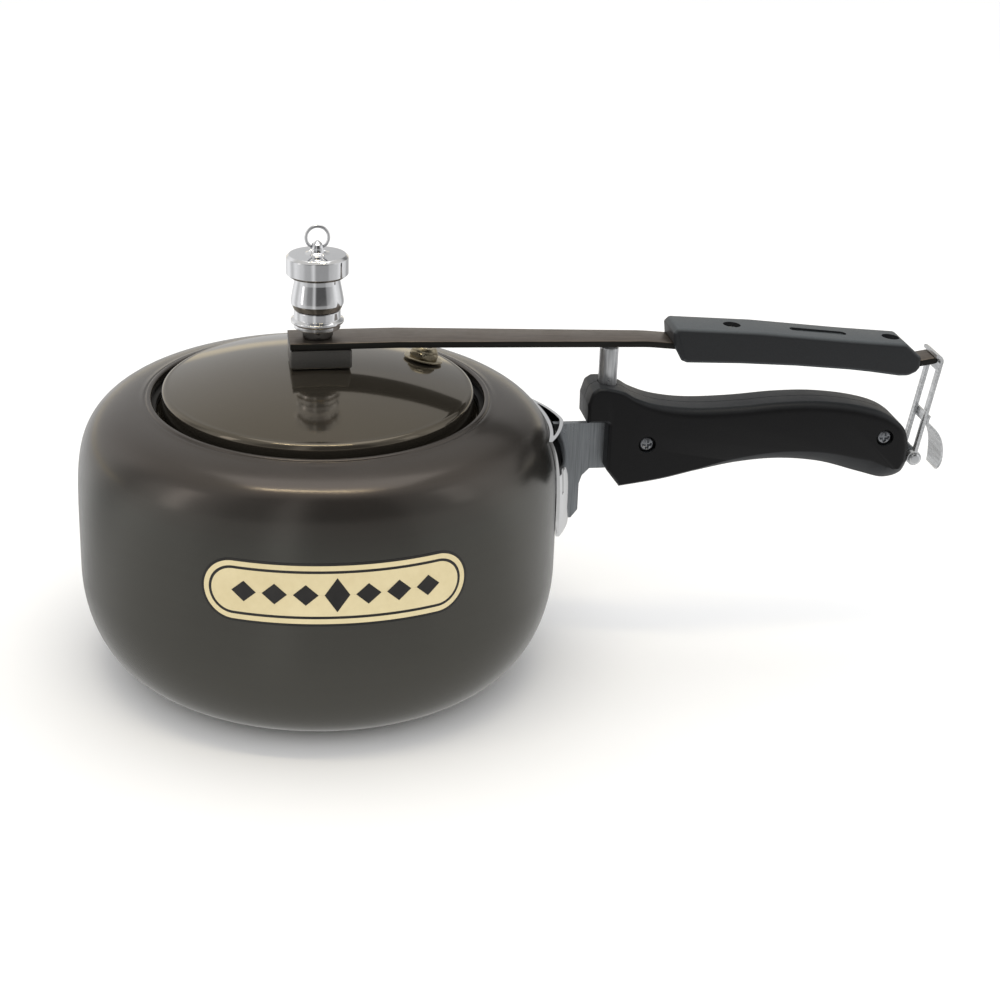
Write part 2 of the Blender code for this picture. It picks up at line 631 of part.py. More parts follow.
def loop_leg_direction():
    foot = Vector((LATCH_X, LATCH_Z))
    head = Vector((TIP_X + hook_radius(), TIP_Z))
    return foot, head, (head - foot).normalized()


def hook_radius():
    """Radius of the middle of the hook's sheet round the tongue's tip."""
    return BAR_THICKNESS / 2 + HOOK_CLEARANCE + LOOP_SHEET / 2


def make_lock_loop():
    """Steel strap: an eye on the latch pin, two legs and a hook over the tongue."""
    foot, head, along = loop_leg_direction()
    half = LOOP_SHEET / 2
    across = Vector((-along.y, along.x))
    hook = arc((TIP_X, TIP_Z), hook_radius(), math.radians(-6), HOOK_ANGLE, 8)
    root = foot + along * math.sqrt(EYE_RADIUS ** 2 - half ** 2)
    strip = strip_outline([tuple(root)] + hook, half)
    strip[0] = tuple(root + across * half)
    strip[-1] = tuple(root - across * half)
    lead = math.atan2(along.y, along.x)
    spread = math.asin(half / EYE_RADIUS)
    eye = arc((LATCH_X, LATCH_Z), EYE_RADIUS, lead - spread, lead + spread - 2 * math.pi, 16)[1:-1]
    wide = LOOP_WIDTH / 2
    loop = add_piece("lock_loop", side_plate(strip + eye, -wide, wide), "brushed_steel", "latch")
    inner = wide - LOOP_LEG_WIDTH
    window = box((LATCH_X - 8 * MM, -inner, LATCH_Z - 8 * MM), (TIP_X + 12 * MM, inner, TIP_Z - 4.5 * MM))
    cut(loop, window, "loop_window")
    hole = cylinder(LATCH_PIN_RADIUS + GAP, (LATCH_X, -LOOP_WIDTH, LATCH_Z), (LATCH_X, LOOP_WIDTH, LATCH_Z), 16)
    cut(loop, hole, "loop_pin_hole")


def make_thumb_tab():
    """Curved thumb plate on the outer face of the legs, rounded at its free end."""
    foot, head, along = loop_leg_direction()
    out = Vector((along.y, -along.x)) * (LOOP_SHEET / 2 + GAP + TAB_SHEET / 2)
    start = foot + along * 21 * MM + out
    lead = foot + along * 17 * MM + out
    points = [tuple(start), tuple(lead)]
    points += [(LATCH_X + dx * MM, LATCH_Z + dz * MM) for dx, dz in
               ((8.2, 13.2), (11.0, 9.2), (12.4, 4.6), (12.8, 0.2), (12.6, -4.0), (11.8, -6.6))]
    path = smooth(points, 2)
    wide = LOOP_WIDTH / 2
    bm = side_plate(strip_outline(path, TAB_SHEET / 2), -1, 1)
    round_from = LATCH_Z + 2 * MM
    reach = round_from - (LATCH_Z - 7.4 * MM)
    for vert in bm.verts:
        drop = min(max((round_from - vert.co.z) / reach, 0), 1)
        vert.co.y *= wide * (0.45 + 0.55 * math.sqrt(1 - drop ** 2))
    add_piece("thumb_tab", bm, "brushed_steel", "latch")


def make_latch_pin():
    half = LOOP_WIDTH / 2 + GAP
    head = 1.2 * MM
    r = LATCH_PIN_RADIUS + 1.1 * MM
    profile = [(0, -half - head), (0.7 * r, -half - head), (r, -half - 0.5 * head), (r, -half),
               (LATCH_PIN_RADIUS, -half), (LATCH_PIN_RADIUS, half), (r, half), (r, half + 0.5 * head),
               (0.7 * r, half + head), (0, half + head)]
    add_piece("latch_pin", place(turned(profile, 16), (0, 1, 0), (LATCH_X, 0, LATCH_Z)), "brushed_steel")


# ---- lid ----

def lid_height(radius):
    """Top of the lid at a radius along X: a low parabola that ends at the edge."""
    edge = LID_WALL - LID_EDGE_ROUND
    return LID_TOP - (LID_TOP - LID_EDGE) * (radius / edge) ** 2


def lid_surface(x, y):
    """Point on the oval lid's top and its normal."""
    step = 0.5 * MM

    def height(px, py):
        return lid_height(math.hypot(px, py / OVAL_RATIO))

    slope_x = (height(x + step, y) - height(x - step, y)) / (2 * step)
    slope_y = (height(x, y + step) - height(x, y - step)) / (2 * step)
    return Vector((x, y, height(x, y))), Vector((-slope_x, -slope_y, 1)).normalized()


def make_lid():
    """Domed sheet with a rounded edge, a side wall through the mouth and a flange below the lip."""
    edge = LID_WALL - LID_EDGE_ROUND
    radii = [edge * share for share in (0, 0.2, 0.4, 0.6, 0.8)]
    top = [(r, lid_height(r)) for r in radii]
    bend = arc((edge, LID_EDGE - LID_EDGE_ROUND), LID_EDGE_ROUND, math.pi / 2, 0, 4)
    root = 1.4 * MM
    side = [(LID_WALL, FLANGE_TOP + root), (LID_WALL + root, FLANGE_TOP), (FLANGE_RADIUS, FLANGE_TOP),
            (FLANGE_RADIUS, FLANGE_TOP - LID_SHEET), (LID_WALL - LID_SHEET, FLANGE_TOP - LID_SHEET)]
    under_bend = arc((edge, LID_EDGE - LID_EDGE_ROUND), LID_EDGE_ROUND - LID_SHEET, 0, math.pi / 2, 2)
    under = [(r, lid_height(r) - LID_SHEET) for r in radii][::-1]
    bm = turned(top + bend + side + under_bend + under, ROUND_STEPS)
    for vert in bm.verts:
        vert.co.y *= OVAL_RATIO
    lid = add_piece("lid", bm, "lid_anodised", "lid_assembly")
    cut(lid, cylinder(VENT_RADIUS + GAP, (0, 0, 0), (0, 0, BAR_Z), 20), "lid_vent_hole")
    spot, normal = lid_surface(VALVE_X, VALVE_Y)
    cut(lid, cylinder(VALVE_STEM_RADIUS + GAP, spot - normal * 10 * MM, spot + normal * 10 * MM, 16),
        "lid_valve_hole")


def make_gasket():
    inner = FLANGE_RADIUS - 0.5 * MM - GASKET_WIDTH
    low = FLANGE_TOP + GAP
    corner = 0.8 * MM
    r0, r1, z0, z1 = inner, inner + GASKET_WIDTH, low, low + GASKET_HEIGHT
    profile = [(r0, z0), (r1, z0), (r1, z1 - corner), (r1 - corner, z1), (r0 + corner, z1), (r0, z1 - corner)]
    bm = turned(profile, ROUND_STEPS, closed=True)
    for vert in bm.verts:
        vert.co.y *= OVAL_RATIO
    add_piece("lid_gasket", bm, "rubber", "lid_assembly")


def bar_half_width(x):
    """Half width of the bar: full over the lid, tapering to the bend, narrow at the tongue."""
    if x > HANDLE_END - 2 * MM:
        return TONGUE_WIDTH / 2
    share = min(max((x - BAR_LEVEL_END) / (BAR_BEND - BAR_LEVEL_END), 0), 1)
    return (BAR_WIDE + (BAR_NARROW - BAR_WIDE) * share) / 2


def make_bar():
    half = BAR_THICKNESS / 2
    tongue = [(x, bar_middle(x)) for x in (HANDLE_END - 2.1 * MM, HANDLE_END - 1.9 * MM)]
    path = [(x, bar_middle(x)) for x, _ in BAR_STATIONS]
    path = path[:3] + tongue + path[3:]
    outline = strip_outline(path, half)
    count = len(path)
    lead = Vector(path[-1]) - Vector(path[-2])
    angle = math.atan2(lead.y, lead.x)
    tip = arc((TIP_X, TIP_Z), half, angle + math.pi / 2, angle - math.pi / 2, 6)
    outline = outline[:count - 1] + tip + outline[count + 1:]
    bm = side_plate(outline, -1, 1)
    for vert in bm.verts:
        vert.co.y *= bar_half_width(vert.co.x)
    bar = add_piece("lid_bar", bm, "bar_finish", "lid_assembly")
    cut(bar, cylinder(VENT_RADIUS + GAP, (0, 0, LID_TOP), (0, 0, NUT_TOP), 20), "bar_vent_hole")
    for number, x in enumerate(LID_HANDLE_SCREWS, 1):
        middle = bar_middle(x)
        hole = cylinder(SCREW_RADIUS + GAP, (x, 0, middle - 9 * MM), (x, 0, middle + 9 * MM), 16)
        cut(bar, hole, f"bar_screw_hole_{number}")


def make_foot():
    low, high = LID_TOP + GAP, BAR_Z - GAP
    half = BAR_WIDE / 2
    bm = box((BAR_START, -half, low), (BAR_START + FOOT_LENGTH, half, high))
    upright = [e for e in bm.edges if abs(e.verts[0].co.z - e.verts[1].co.z) > 1 * MM]
    bmesh.ops.bevel(bm, geom=upright, offset=1.5 * MM, segments=2, profile=0.5, affect="EDGES")
    foot = add_piece("bar_foot", bm, "bar_finish", "lid_assembly")
    cut(foot, cylinder(VENT_RADIUS + GAP, (0, 0, 0), (0, 0, NUT_TOP), 20), "foot_vent_hole")


def make_vent():
    """Flanged tube through lid, foot and bar, with the nozzle that carries the weight."""
    under = LID_TOP - LID_SHEET - GAP
    taper = COLLAR_Z + 1.2 * MM
    cone = 2.4 * MM
    profile = [(VENT_BORE, under - VENT_FLANGE_HEIGHT), (VENT_FLANGE_RADIUS, under - VENT_FLANGE_HEIGHT),
               (VENT_FLANGE_RADIUS, under), (VENT_RADIUS, under), (VENT_RADIUS, taper),
               (VENT_TIP_RADIUS, taper + cone), (VENT_TIP_RADIUS, VENT_TIP - 0.8 * MM),
               (VENT_TIP_RADIUS - 0.8 * MM, VENT_TIP), (VENT_BORE, VENT_TIP)]
    add_piece("vent_tube", turned(profile, 20, closed=True), "brushed_steel", "lid_assembly")
    nut = hexagon_nut(VENT_NUT_ACROSS, VENT_NUT_HEIGHT, VENT_RADIUS + GAP)
    bmesh.ops.translate(nut, verts=nut.verts, vec=(0, 0, BAR_TOP + GAP))
    add_piece("vent_nut", nut, "bar_finish", "lid_assembly")


def make_valve():
    """Brass hexagon fitting on the lid's slope, its fusible plug and the nut inside the lid."""
    spot, normal = lid_surface(VALVE_X, VALVE_Y)
    seat = 0.5 * MM
    head = 6.0 * MM
    stem = LID_SHEET + VALVE_NUT_HEIGHT + 2.5 * MM
    low, high = seat - stem, seat + head
    tube = [(PLUG_RADIUS + GAP, low), (VALVE_STEM_RADIUS, low), (VALVE_STEM_RADIUS, seat),
            (VALVE_ACROSS / 2, seat), (VALVE_ACROSS / 2, seat + head * 0.5), (VALVE_STEM_RADIUS + 1 * MM, high),
            (PLUG_RADIUS + GAP, high)]
    bm = place(turned(tube, 24, closed=True), normal, spot)
    piece = add_piece("safety_valve", bm, "brass", "lid_assembly")
    for side in range(6):
        angle = math.pi / 3 * side
        flat = box((VALVE_ACROSS * 0.44, -VALVE_ACROSS, seat + 0.8 * MM),
                   (VALVE_ACROSS, VALVE_ACROSS, seat + head * 0.48))
        bmesh.ops.rotate(flat, verts=flat.verts, cent=(0, 0, 0), matrix=Matrix.Rotation(angle, 3, "Z"))
        cut(piece, place(flat, normal, spot), f"valve_flat_{side + 1}")
    plug = [(0, low + 1 * MM), (PLUG_RADIUS, low + 1 * MM), (PLUG_RADIUS, high - 0.6 * MM),
            (PLUG_RADIUS - 0.6 * MM, high), (0, high)]
    add_piece("fusible_plug", place(turned(plug, 16), normal, spot), "fuse_alloy", "lid_assembly")
    nut = hexagon_nut(VALVE_ACROSS, VALVE_NUT_HEIGHT, VALVE_STEM_RADIUS + GAP)
    bmesh.ops.translate(nut, verts=nut.verts, vec=(0, 0, -LID_SHEET - seat - VALVE_NUT_HEIGHT))
    add_piece("valve_nut", place(nut, normal, spot), "brass", "lid_assembly")


# ---- lid handle ----

def lid_handle_outline():
    """Side outline of the lid handle, as heights above or below the bar's middle."""
    points = ((0.006, 0.6), (0.0, 6.4), (0.018, 8.8), (0.3445, 10.0), (0.7067, 9.6), (0.936, 9.8), (1.0, 4.1),
              (1.0, -0.7), (0.986, -3.0), (0.955, -5.0), (0.919, -5.4), (0.8, -4.6), (0.7155, -4.3),
              (0.5, -4.4), (0.274, -5.3), (0.062, -6.8), (0.04, -6.0))
    outline = []
    for share, height in points:
        x = LID_HANDLE_X + share * LID_HANDLE_LENGTH
        outline.append((x, bar_middle(min(x, BAR_STATIONS[3][0])) + height * MM))
    return outline


def make_lid_handle():
    wide = LID_HANDLE_WIDTH / 2
    bm = side_plate(lid_handle_outline(), -wide, wide)
    rim = [e for e in bm.edges if abs(e.verts[0].co.y - e.verts[1].co.y) < 0.01 * MM]
    bmesh.ops.bevel(bm, geom=rim, offset=LID_HANDLE_EDGE, segments=2, profile=0.6, affect="EDGES")
    handle = add_piece("lid_handle", bm, "slate_plastic", "lid_assembly")
    stations = (LID_HANDLE_X - 10 * MM, BAR_STATIONS[3][0], LATCH_X)
    roof = [(x, bar_middle(min(x, BAR_STATIONS[3][0])) + BAR_THICKNESS / 2 + GAP) for x in stations]
    floor = bar_middle(LATCH_X) - 30 * MM
    channel = roof + [(stations[-1], floor), (stations[0], floor)]
    half = BAR_NARROW / 2 + GAP
    cut(handle, side_plate(channel, -half, half), "lid_handle_channel")
    for number, x in enumerate(LID_HANDLE_SCREWS, 1):
        cut(handle, cylinder(SCREW_RADIUS + GAP, (x, 0, bar_middle(x)), (x, 0, BAR_TOP + 10 * MM), 16),
            f"lid_handle_screw_hole_{number}")
        sink = cylinder(SCREW_HEAD_RADIUS + 0.6 * MM, (x, 0, lid_screw_seat(x) - GAP),
                        (x, 0, BAR_TOP + 10 * MM), 16)
        cut(handle, sink, f"lid_handle_sink_{number}")


def lid_screw_seat(x):
    """Underside of a lid handle screw's head."""
    return bar_middle(x) + 6.2 * MM


def make_lid_handle_screws():
    for number, x in enumerate(LID_HANDLE_SCREWS, 1):
        seat = lid_screw_seat(x)
        nut_top = bar_middle(x) - BAR_THICKNESS / 2 - 3 * GAP
        length = seat - nut_top + NUT_HEIGHT
        screw = turned(screw_profile(length), 16)
        bmesh.ops.translate(screw, verts=screw.verts, vec=(x, 0, seat))
        add_piece(f"lid_handle_screw_{number}", screw, "brushed_steel", "lid_assembly")
        nut = hexagon_nut(NUT_ACROSS, NUT_HEIGHT, SCREW_RADIUS + GAP)
        bmesh.ops.translate(nut, verts=nut.verts, vec=(x, 0, nut_top - NUT_HEIGHT))
        add_piece(f"lid_handle_nut_{number}", nut, "brushed_steel", "lid_assembly")


# ---- pressure weight ----

def make_collar():
    spigot = 7.8 * MM
    throat = VENT_RADIUS + 1.2 * MM
    z = COLLAR_Z
    profile = [(throat, z), (COLLAR_RADIUS - 0.8 * MM, z), (COLLAR_RADIUS, z + 0.8 * MM),
               (COLLAR_RADIUS, z + 2.0 * MM), (COLLAR_FLANGE_RADIUS, z + 2.9 * MM),
               (COLLAR_FLANGE_RADIUS, z + 3.7 * MM), (COLLAR_RADIUS, z + 4.6 * MM),
               (COLLAR_RADIUS, z + COLLAR_HEIGHT), (spigot, z + COLLAR_HEIGHT), (spigot, z + 3.4 * MM),
               (throat, z + 3.4 * MM)]
    add_piece("weight_collar", turned(profile, 24, closed=True), "chrome", "weight")


def make_weight():
    """Bell, neck and cap in one piece, with a cavity over the nozzle and a boss for the ring."""
    z = BELL_Z
    spigot_low = COLLAR_Z + 3.4 * MM + GAP
    throat = VENT_RADIUS + 1.2 * MM
    cavity = VENT_TIP_RADIUS + 0.8 * MM
    outer = [(7.8 * MM - GAP, spigot_low), (7.8 * MM - GAP, z), (COLLAR_RADIUS + 0.3 * MM, z),
             (BELL_RADIUS, z + 2.0 * MM), (BELL_RADIUS, z + 4.2 * MM), (NECK_RADIUS + 0.6 * MM, z + 8.6 * MM),
             (NECK_RADIUS, NECK_Z), (NECK_RADIUS, CAP_Z - 1.2 * MM), (CAP_RADIUS - 1.6 * MM, CAP_Z - 0.4 * MM),
             (CAP_RADIUS, CAP_Z + 0.8 * MM), (CAP_RADIUS, CAP_TOP - 1.2 * MM),
             (CAP_RADIUS - 0.9 * MM, CAP_TOP - 0.3 * MM),
             (5.2 * MM, CAP_TOP + 0.2 * MM), (BOSS_RADIUS + 0.3 * MM, RING_PIVOT_Z - 1.4 * MM),
             (BOSS_RADIUS, RING_PIVOT_Z + 0.8 * MM), (BOSS_RADIUS * 0.85, RING_PIVOT_Z + 1.7 * MM),
             (BOSS_RADIUS * 0.35, RING_PIVOT_Z + 3.4 * MM), (0, RING_PIVOT_Z + 3.6 * MM)]
    inner = [(0, VENT_TIP + 3.2 * MM), (VENT_BORE, VENT_TIP + 1.4 * MM), (cavity, VENT_TIP + 0.4 * MM),
             (cavity, z + 1.5 * MM), (throat, z), (throat, spigot_low), (7.8 * MM - GAP, spigot_low)]
    weight = add_piece("vent_weight", turned(outer + inner, 24), "chrome", "weight")
    centre = RING_PIVOT_Z + 0.35 * MM
    cut(weight, cylinder(RING_HOLE, (-CAP_RADIUS, 0, centre), (CAP_RADIUS, 0, centre), 16), "ring_hole")


def make_ring():
    """Wire ring that stands upright in the XZ plane and passes through the boss."""
    bm = turned(arc((RING_RADIUS, 0), RING_WIRE, 0, 2 * math.pi, 8)[:-1], 24, closed=True)
    bmesh.ops.rotate(bm, verts=bm.verts, cent=(0, 0, 0), matrix=Matrix.Rotation(math.pi / 2, 3, "X"))
    bmesh.ops.translate(bm, verts=bm.verts, vec=(0, 0, RING_CENTRE_Z))
    add_piece("weight_ring", bm, "chrome", "ring")


def main():
    clear_scene()
    make_materials()
    make_bodies()
    make_pot()
    make_disc()
    make_bracket()
    make_arm()
    make_rivets()
    make_handle_shells()
    make_handle_screws()
    make_post()
    make_latch_pin()
    make_lock_loop()
    make_thumb_tab()
    make_lid()
    make_gasket()
    make_bar()
    make_foot()
    make_vent()
    make_valve()
    make_lid_handle()
    make_lid_handle_screws()
    make_collar()
    make_weight()
    make_ring()
    bpy.context.view_layer.update()


main()
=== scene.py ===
# %% [markdown]
# # A stovetop pressure cooker
#
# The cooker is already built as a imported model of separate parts, and this lesson dresses
# it. Round, moulded and bent parts get finer surfaces worked out with numpy, and every part
# gets a procedural finish. All lengths are metres; MM turns a size in millimetres into them.

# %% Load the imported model
import json
import math

import bmesh
import bpy
import numpy as np
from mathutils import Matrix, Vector


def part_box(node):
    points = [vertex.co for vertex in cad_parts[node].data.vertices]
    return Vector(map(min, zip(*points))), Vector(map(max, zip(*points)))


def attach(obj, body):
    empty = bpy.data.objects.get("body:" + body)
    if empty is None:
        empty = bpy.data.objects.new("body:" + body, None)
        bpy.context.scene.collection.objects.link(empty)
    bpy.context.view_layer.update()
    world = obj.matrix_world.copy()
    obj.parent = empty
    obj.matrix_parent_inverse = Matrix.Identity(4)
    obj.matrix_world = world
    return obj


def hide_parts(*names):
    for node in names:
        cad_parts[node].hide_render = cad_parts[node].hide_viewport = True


MM = 0.001
GAP = 0.3 * MM
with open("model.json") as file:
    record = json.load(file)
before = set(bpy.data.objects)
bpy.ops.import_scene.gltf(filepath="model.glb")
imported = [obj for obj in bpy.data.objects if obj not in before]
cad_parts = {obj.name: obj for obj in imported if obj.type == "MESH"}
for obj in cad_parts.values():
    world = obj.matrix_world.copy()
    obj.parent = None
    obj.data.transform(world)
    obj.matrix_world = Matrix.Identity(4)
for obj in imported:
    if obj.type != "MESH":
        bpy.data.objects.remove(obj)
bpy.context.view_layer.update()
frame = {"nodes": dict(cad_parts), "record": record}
print("parts in the packed model:", len(frame["nodes"]))

# %% [markdown]
# ## Camera and light
#
# A catalogue view: a long lens, a little above the cooker, with the handle to the right. The
# cooker stands off centre in the view, so the lens is shifted instead of turned, which keeps
# upright edges upright.

# %% Camera
camera_data = bpy.data.cameras.new("camera")
camera_data.lens = 72
camera_data.shift_x = 0.182
LOOK_DOWN, LOOK_ASIDE = 23.17, 4.35
camera = bpy.data.objects.new("camera", camera_data)
camera.location = (-0.0629, -0.8308, 0.4304)
camera.rotation_euler = (math.radians(90 - LOOK_DOWN), 0, math.radians(-LOOK_ASIDE))
bpy.context.scene.collection.objects.link(camera)
bpy.context.scene.camera = camera
print("lens:", camera_data.lens, "mm, looking down by", LOOK_DOWN, "degrees")

# %% [markdown]
# The floor is a plain pale sheet. Metal shows what stands round it more than its own colour,
# so the world is white for the lens and for soft light, and for reflections it is a studio:
# grey bands round it, dark in front, light overhead, with a bright strip low down behind.

# %% Helper: shader nodes
def add_node(tree, kind, values=(), **settings):
    """A shader node with its settings, and its inputs set by name or number."""
    node = tree.nodes.new(kind)
    for key, value in settings.items():
        setattr(node, key, value)
    for key, value in dict(values).items():
        if isinstance(value, bpy.types.NodeSocket):
            tree.links.new(value, node.inputs[key])
        else:
            node.inputs[key].default_value = value
    return node


def calculate(tree, operation, *values):
    """A Math node on up to three values or sockets."""
    return add_node(tree, "ShaderNodeMath", enumerate(values), operation=operation).outputs[0]


def ramp(tree, value, stops):
    """A ColorRamp eased through (position, grey) stops."""
    node = add_node(tree, "ShaderNodeValToRGB", {0: value})
    node.color_ramp.interpolation = "EASE"
    elements = node.color_ramp.elements
    while len(elements) < len(stops):
        elements.new(0.5)
    for element, (position, grey) in zip(elements, stops):
        element.position = position
        element.color = (grey, grey, grey, 1)
    return node.outputs["Color"]


def studio_bands(tree, vector):
    """Grey of the studio in the compass direction of vector, turn = atan2(y, x) from 0 to 1,
    and the vector's y and z."""
    parts = add_node(tree, "ShaderNodeSeparateXYZ", {0: vector}).outputs
    turn = calculate(tree, "ARCTAN2", parts["Y"], parts["X"])
    turn = calculate(tree, "MULTIPLY_ADD", turn, 0.5 / math.pi, 0.5)
    left = [(0.0, 0.72), (0.08, 0.45), (0.125, 0.22), (0.165, 0.20), (0.20, 0.55)]
    front = [(0.232, 0.08), (0.25, 0.08), (0.30, 0.08), (0.34, 0.08)]
    right = [(0.37, 0.30), (0.433, 0.42), (0.50, 0.80), (0.567, 0.60), (0.62, 0.18)]
    back = [(0.70, 0.50), (0.80, 0.70), (0.889, 0.90), (0.95, 0.40), (1.0, 0.72)]
    return ramp(tree, turn, left + front + right + back), parts["Y"], parts["Z"]


def over(tree, factor, below, tone):
    """A tone laid over a colour by factor."""
    return add_node(tree, "ShaderNodeMix", {0: factor, 6: below, 7: (*tone, 1)}, data_type="RGBA").outputs[2]


# %% World
world = bpy.data.worlds.new("studio")
bpy.context.scene.world = world
world.use_nodes = True
tree = world.node_tree
tree.nodes.clear()

LEAN = 0.6  # how far the light ceiling draws back from the front
walls, away, up = studio_bands(tree, add_node(tree, "ShaderNodeTexCoord").outputs["Generated"])
ceiling = calculate(tree, "MULTIPLY_ADD", calculate(tree, "MINIMUM", away, 0.0), LEAN, up)
ceiling = ramp(tree, ceiling, [(0.0, 0.0), (0.42, 0.0), (0.80, 1.0)])
behind = ramp(tree, away, [(0.0, 0.0), (0.25, 0.0), (0.55, 1.0)])
low_down = ramp(tree, up, [(0.0, 1.0), (0.05, 1.0), (0.10, 0.0)])
studio = over(tree, ceiling, walls, (0.60, 0.59, 0.57))
studio = over(tree, calculate(tree, "MULTIPLY", behind, low_down), studio, (1.1, 1.0, 0.80))
path = add_node(tree, "ShaderNodeLightPath").outputs
seen = add_node(tree, "ShaderNodeBackground", {"Color": (1, 1, 1, 1), "Strength": 1.12})
mirrored = add_node(tree, "ShaderNodeBackground", {"Color": studio, "Strength": 1.0})
mixed = add_node(tree, "ShaderNodeMixShader",
                 {0: path["Is Glossy Ray"], 1: seen.outputs[0], 2: mirrored.outputs[0]})
add_node(tree, "ShaderNodeOutputWorld", {"Surface": mixed.outputs[0]})
bpy.context.scene.view_settings.view_transform = "Standard"
print("studio:", len(tree.nodes), "shader nodes")

# %% Soft lights
def soft_light(name, place, aim, size, power, colour=(1, 1, 1)):
    """A rectangular lamp that faces the point aim."""
    data = bpy.data.lights.new(name, "AREA")
    data.shape = "RECTANGLE"
    data.size, data.size_y = size
    data.energy = power
    data.color = colour
    light = bpy.data.objects.new(name, data)
    light.location = place
    light.rotation_euler = (Vector(aim) - Vector(place)).to_track_quat("-Z", "Y").to_euler()
    bpy.context.scene.collection.objects.link(light)
    print("light:", name, power, "W")


soft_light("overhead", (0.10, 0.20, 1.30), (0.08, 0, 0.08), (1.1, 0.8), 2.4)
soft_light("front_strip", (-0.05, -0.20, 1.35), (0, 0, 0.10), (0.8, 0.05), 2.6, (1.0, 0.88, 0.62))
soft_light("left_side", (-1.2, -0.35, 0.5), (0, 0, 0.08), (0.25, 0.8), 0.7, (1.0, 0.95, 0.93))
soft_light("right_side", (1.2, -0.5, 0.6), (0.1, 0, 0.1), (0.3, 0.8), 0.4)

# %% [markdown]
# ## From a grid of points to a mesh
#
# Every new surface is a grid of points: the first direction runs along a profile or a rim,
# the second across it. The same few lines turn any grid into faces, so each part below only
# has to say where its points lie.

# %% Helper: a mesh from a grid
def points_of(*parts):
    """Points from an array for each coordinate; an array with fewer values repeats them."""
    return np.stack(np.broadcast_arrays(*parts), axis=-1)


def grid_faces(rows, columns, wrap_rows, wrap_columns):
    """Four corners for each cell of a grid, with the last row or column joined to the first."""
    i = np.arange(rows if wrap_rows else rows - 1)
    j = np.arange(columns if wrap_columns else columns - 1)
    i, j = np.meshgrid(i, j, indexing="ij")
    next_i, next_j = (i + 1) % rows, (j + 1) % columns
    corners = [i * columns + j, next_i * columns + j, next_i * columns + next_j, i * columns + next_j]
    return np.stack(corners, axis=-1).reshape(-1, 4)


def surface(name, grid, wrap_rows=False, wrap_columns=False, cap_rows=False, sharp=40):
    """An object from a grid; poles and seams are merged, and cap_rows closes both end rows
    with faces of many corners, which stay flat while the others are smooth."""
    rows, columns = grid.shape[:2]
    faces = grid_faces(rows, columns, wrap_rows, wrap_columns).tolist()
    if cap_rows:
        faces.append(list(range(columns)))
        faces.append(list(range((rows - 1) * columns, rows * columns)))
    mesh = bpy.data.meshes.new(name)
    mesh.from_pydata(grid.reshape(-1, 3).tolist(), [], faces)
    bm = bmesh.new()
    bm.from_mesh(mesh)
    bmesh.ops.remove_doubles(bm, verts=bm.verts, dist=1e-6)
    bmesh.ops.recalc_face_normals(bm, faces=bm.faces)
    bm.to_mesh(mesh)
    bm.free()
    corners = np.zeros(len(mesh.polygons), dtype=int)
    mesh.polygons.foreach_get("loop_total", corners)
    mesh.polygons.foreach_set("use_smooth", corners <= 4)
    mesh.set_sharp_from_angle(angle=math.radians(sharp))
    obj = bpy.data.objects.new(name, mesh)
    bpy.context.scene.collection.objects.link(obj)
    return obj


def hoop(name, grid, sharp=40):
    """A surface closed both ways, like a ring."""
    return surface(name, grid, wrap_rows=True, wrap_columns=True, sharp=sharp)


def plugged(name, grid, sharp=40):
    """A tube of rows with a flat cap on its first and last."""
    return surface(name, grid, wrap_columns=True, cap_rows=True, sharp=sharp)


# %% The floor
def floor_grid(half, steps):
    """A flat square: x and y run from -half to half in even steps."""
    side = np.linspace(-half, half, steps)
    x, y = np.meshgrid(side, side, indexing="ij")
    return points_of(x, y, 0.0)


floor = surface("floor", floor_grid(40.0, 3))
print("floor:", len(floor.data.polygons), "faces")

# %% [markdown]
# A drawn profile has corners, and real parts have small radii there, which catch the light.
# This helper replaces each corner of a line of points with an arc.

# %% Helper: rounded corners
def rounded(points, radius, steps=5, closed=False):
    """Each corner becomes an arc tangent to both sides; it starts radius * tan(half turn)
    before the corner, or at most 45% along the shorter side."""
    points = np.asarray(points, float)
    count = len(points)
    radii = np.broadcast_to(radius, count)
    result = []
    for k in range(count):
        if not closed and k in (0, count - 1):
            result.append(points[k][None])
            continue
        corner = points[k]
        to_last = points[k - 1] - corner
        to_next = points[(k + 1) % count] - corner
        last_length, next_length = np.linalg.norm(to_last), np.linalg.norm(to_next)
        to_last, to_next = to_last / last_length, to_next / next_length
        half_turn = (math.pi - math.acos(np.clip(to_last @ to_next, -1, 1))) / 2
        reach = min(radii[k] * math.tan(half_turn), 0.45 * last_length, 0.45 * next_length)
        if half_turn < 0.02 or reach <= 0:
            result.append(corner[None])
            continue
        t = np.linspace(0, 1, steps)[:, None]
        start, end = corner + to_last * reach, corner + to_next * reach
        weight = math.cos(half_turn)
        blend = (1 - t) ** 2 + 2 * weight * t * (1 - t) + t ** 2
        arc = ((1 - t) ** 2 * start + 2 * weight * t * (1 - t) * corner + t ** 2 * end) / blend
        result.append(arc)
    return np.concatenate(result)


def refined(points, step):
    """The same line with extra points, so that no stretch is longer than step."""
    points = np.asarray(points, float)
    lengths = np.linalg.norm(np.diff(points, axis=0), axis=1)
    along = np.concatenate([[0], np.cumsum(lengths)])
    extra = np.arange(0, along[-1], step)
    places = np.unique(np.round(np.concatenate([along, extra]), 9))
    keep = np.concatenate([[True], np.diff(places) > 1e-7])
    places = places[keep]
    return points_of(*(np.interp(places, along, column) for column in points.T))


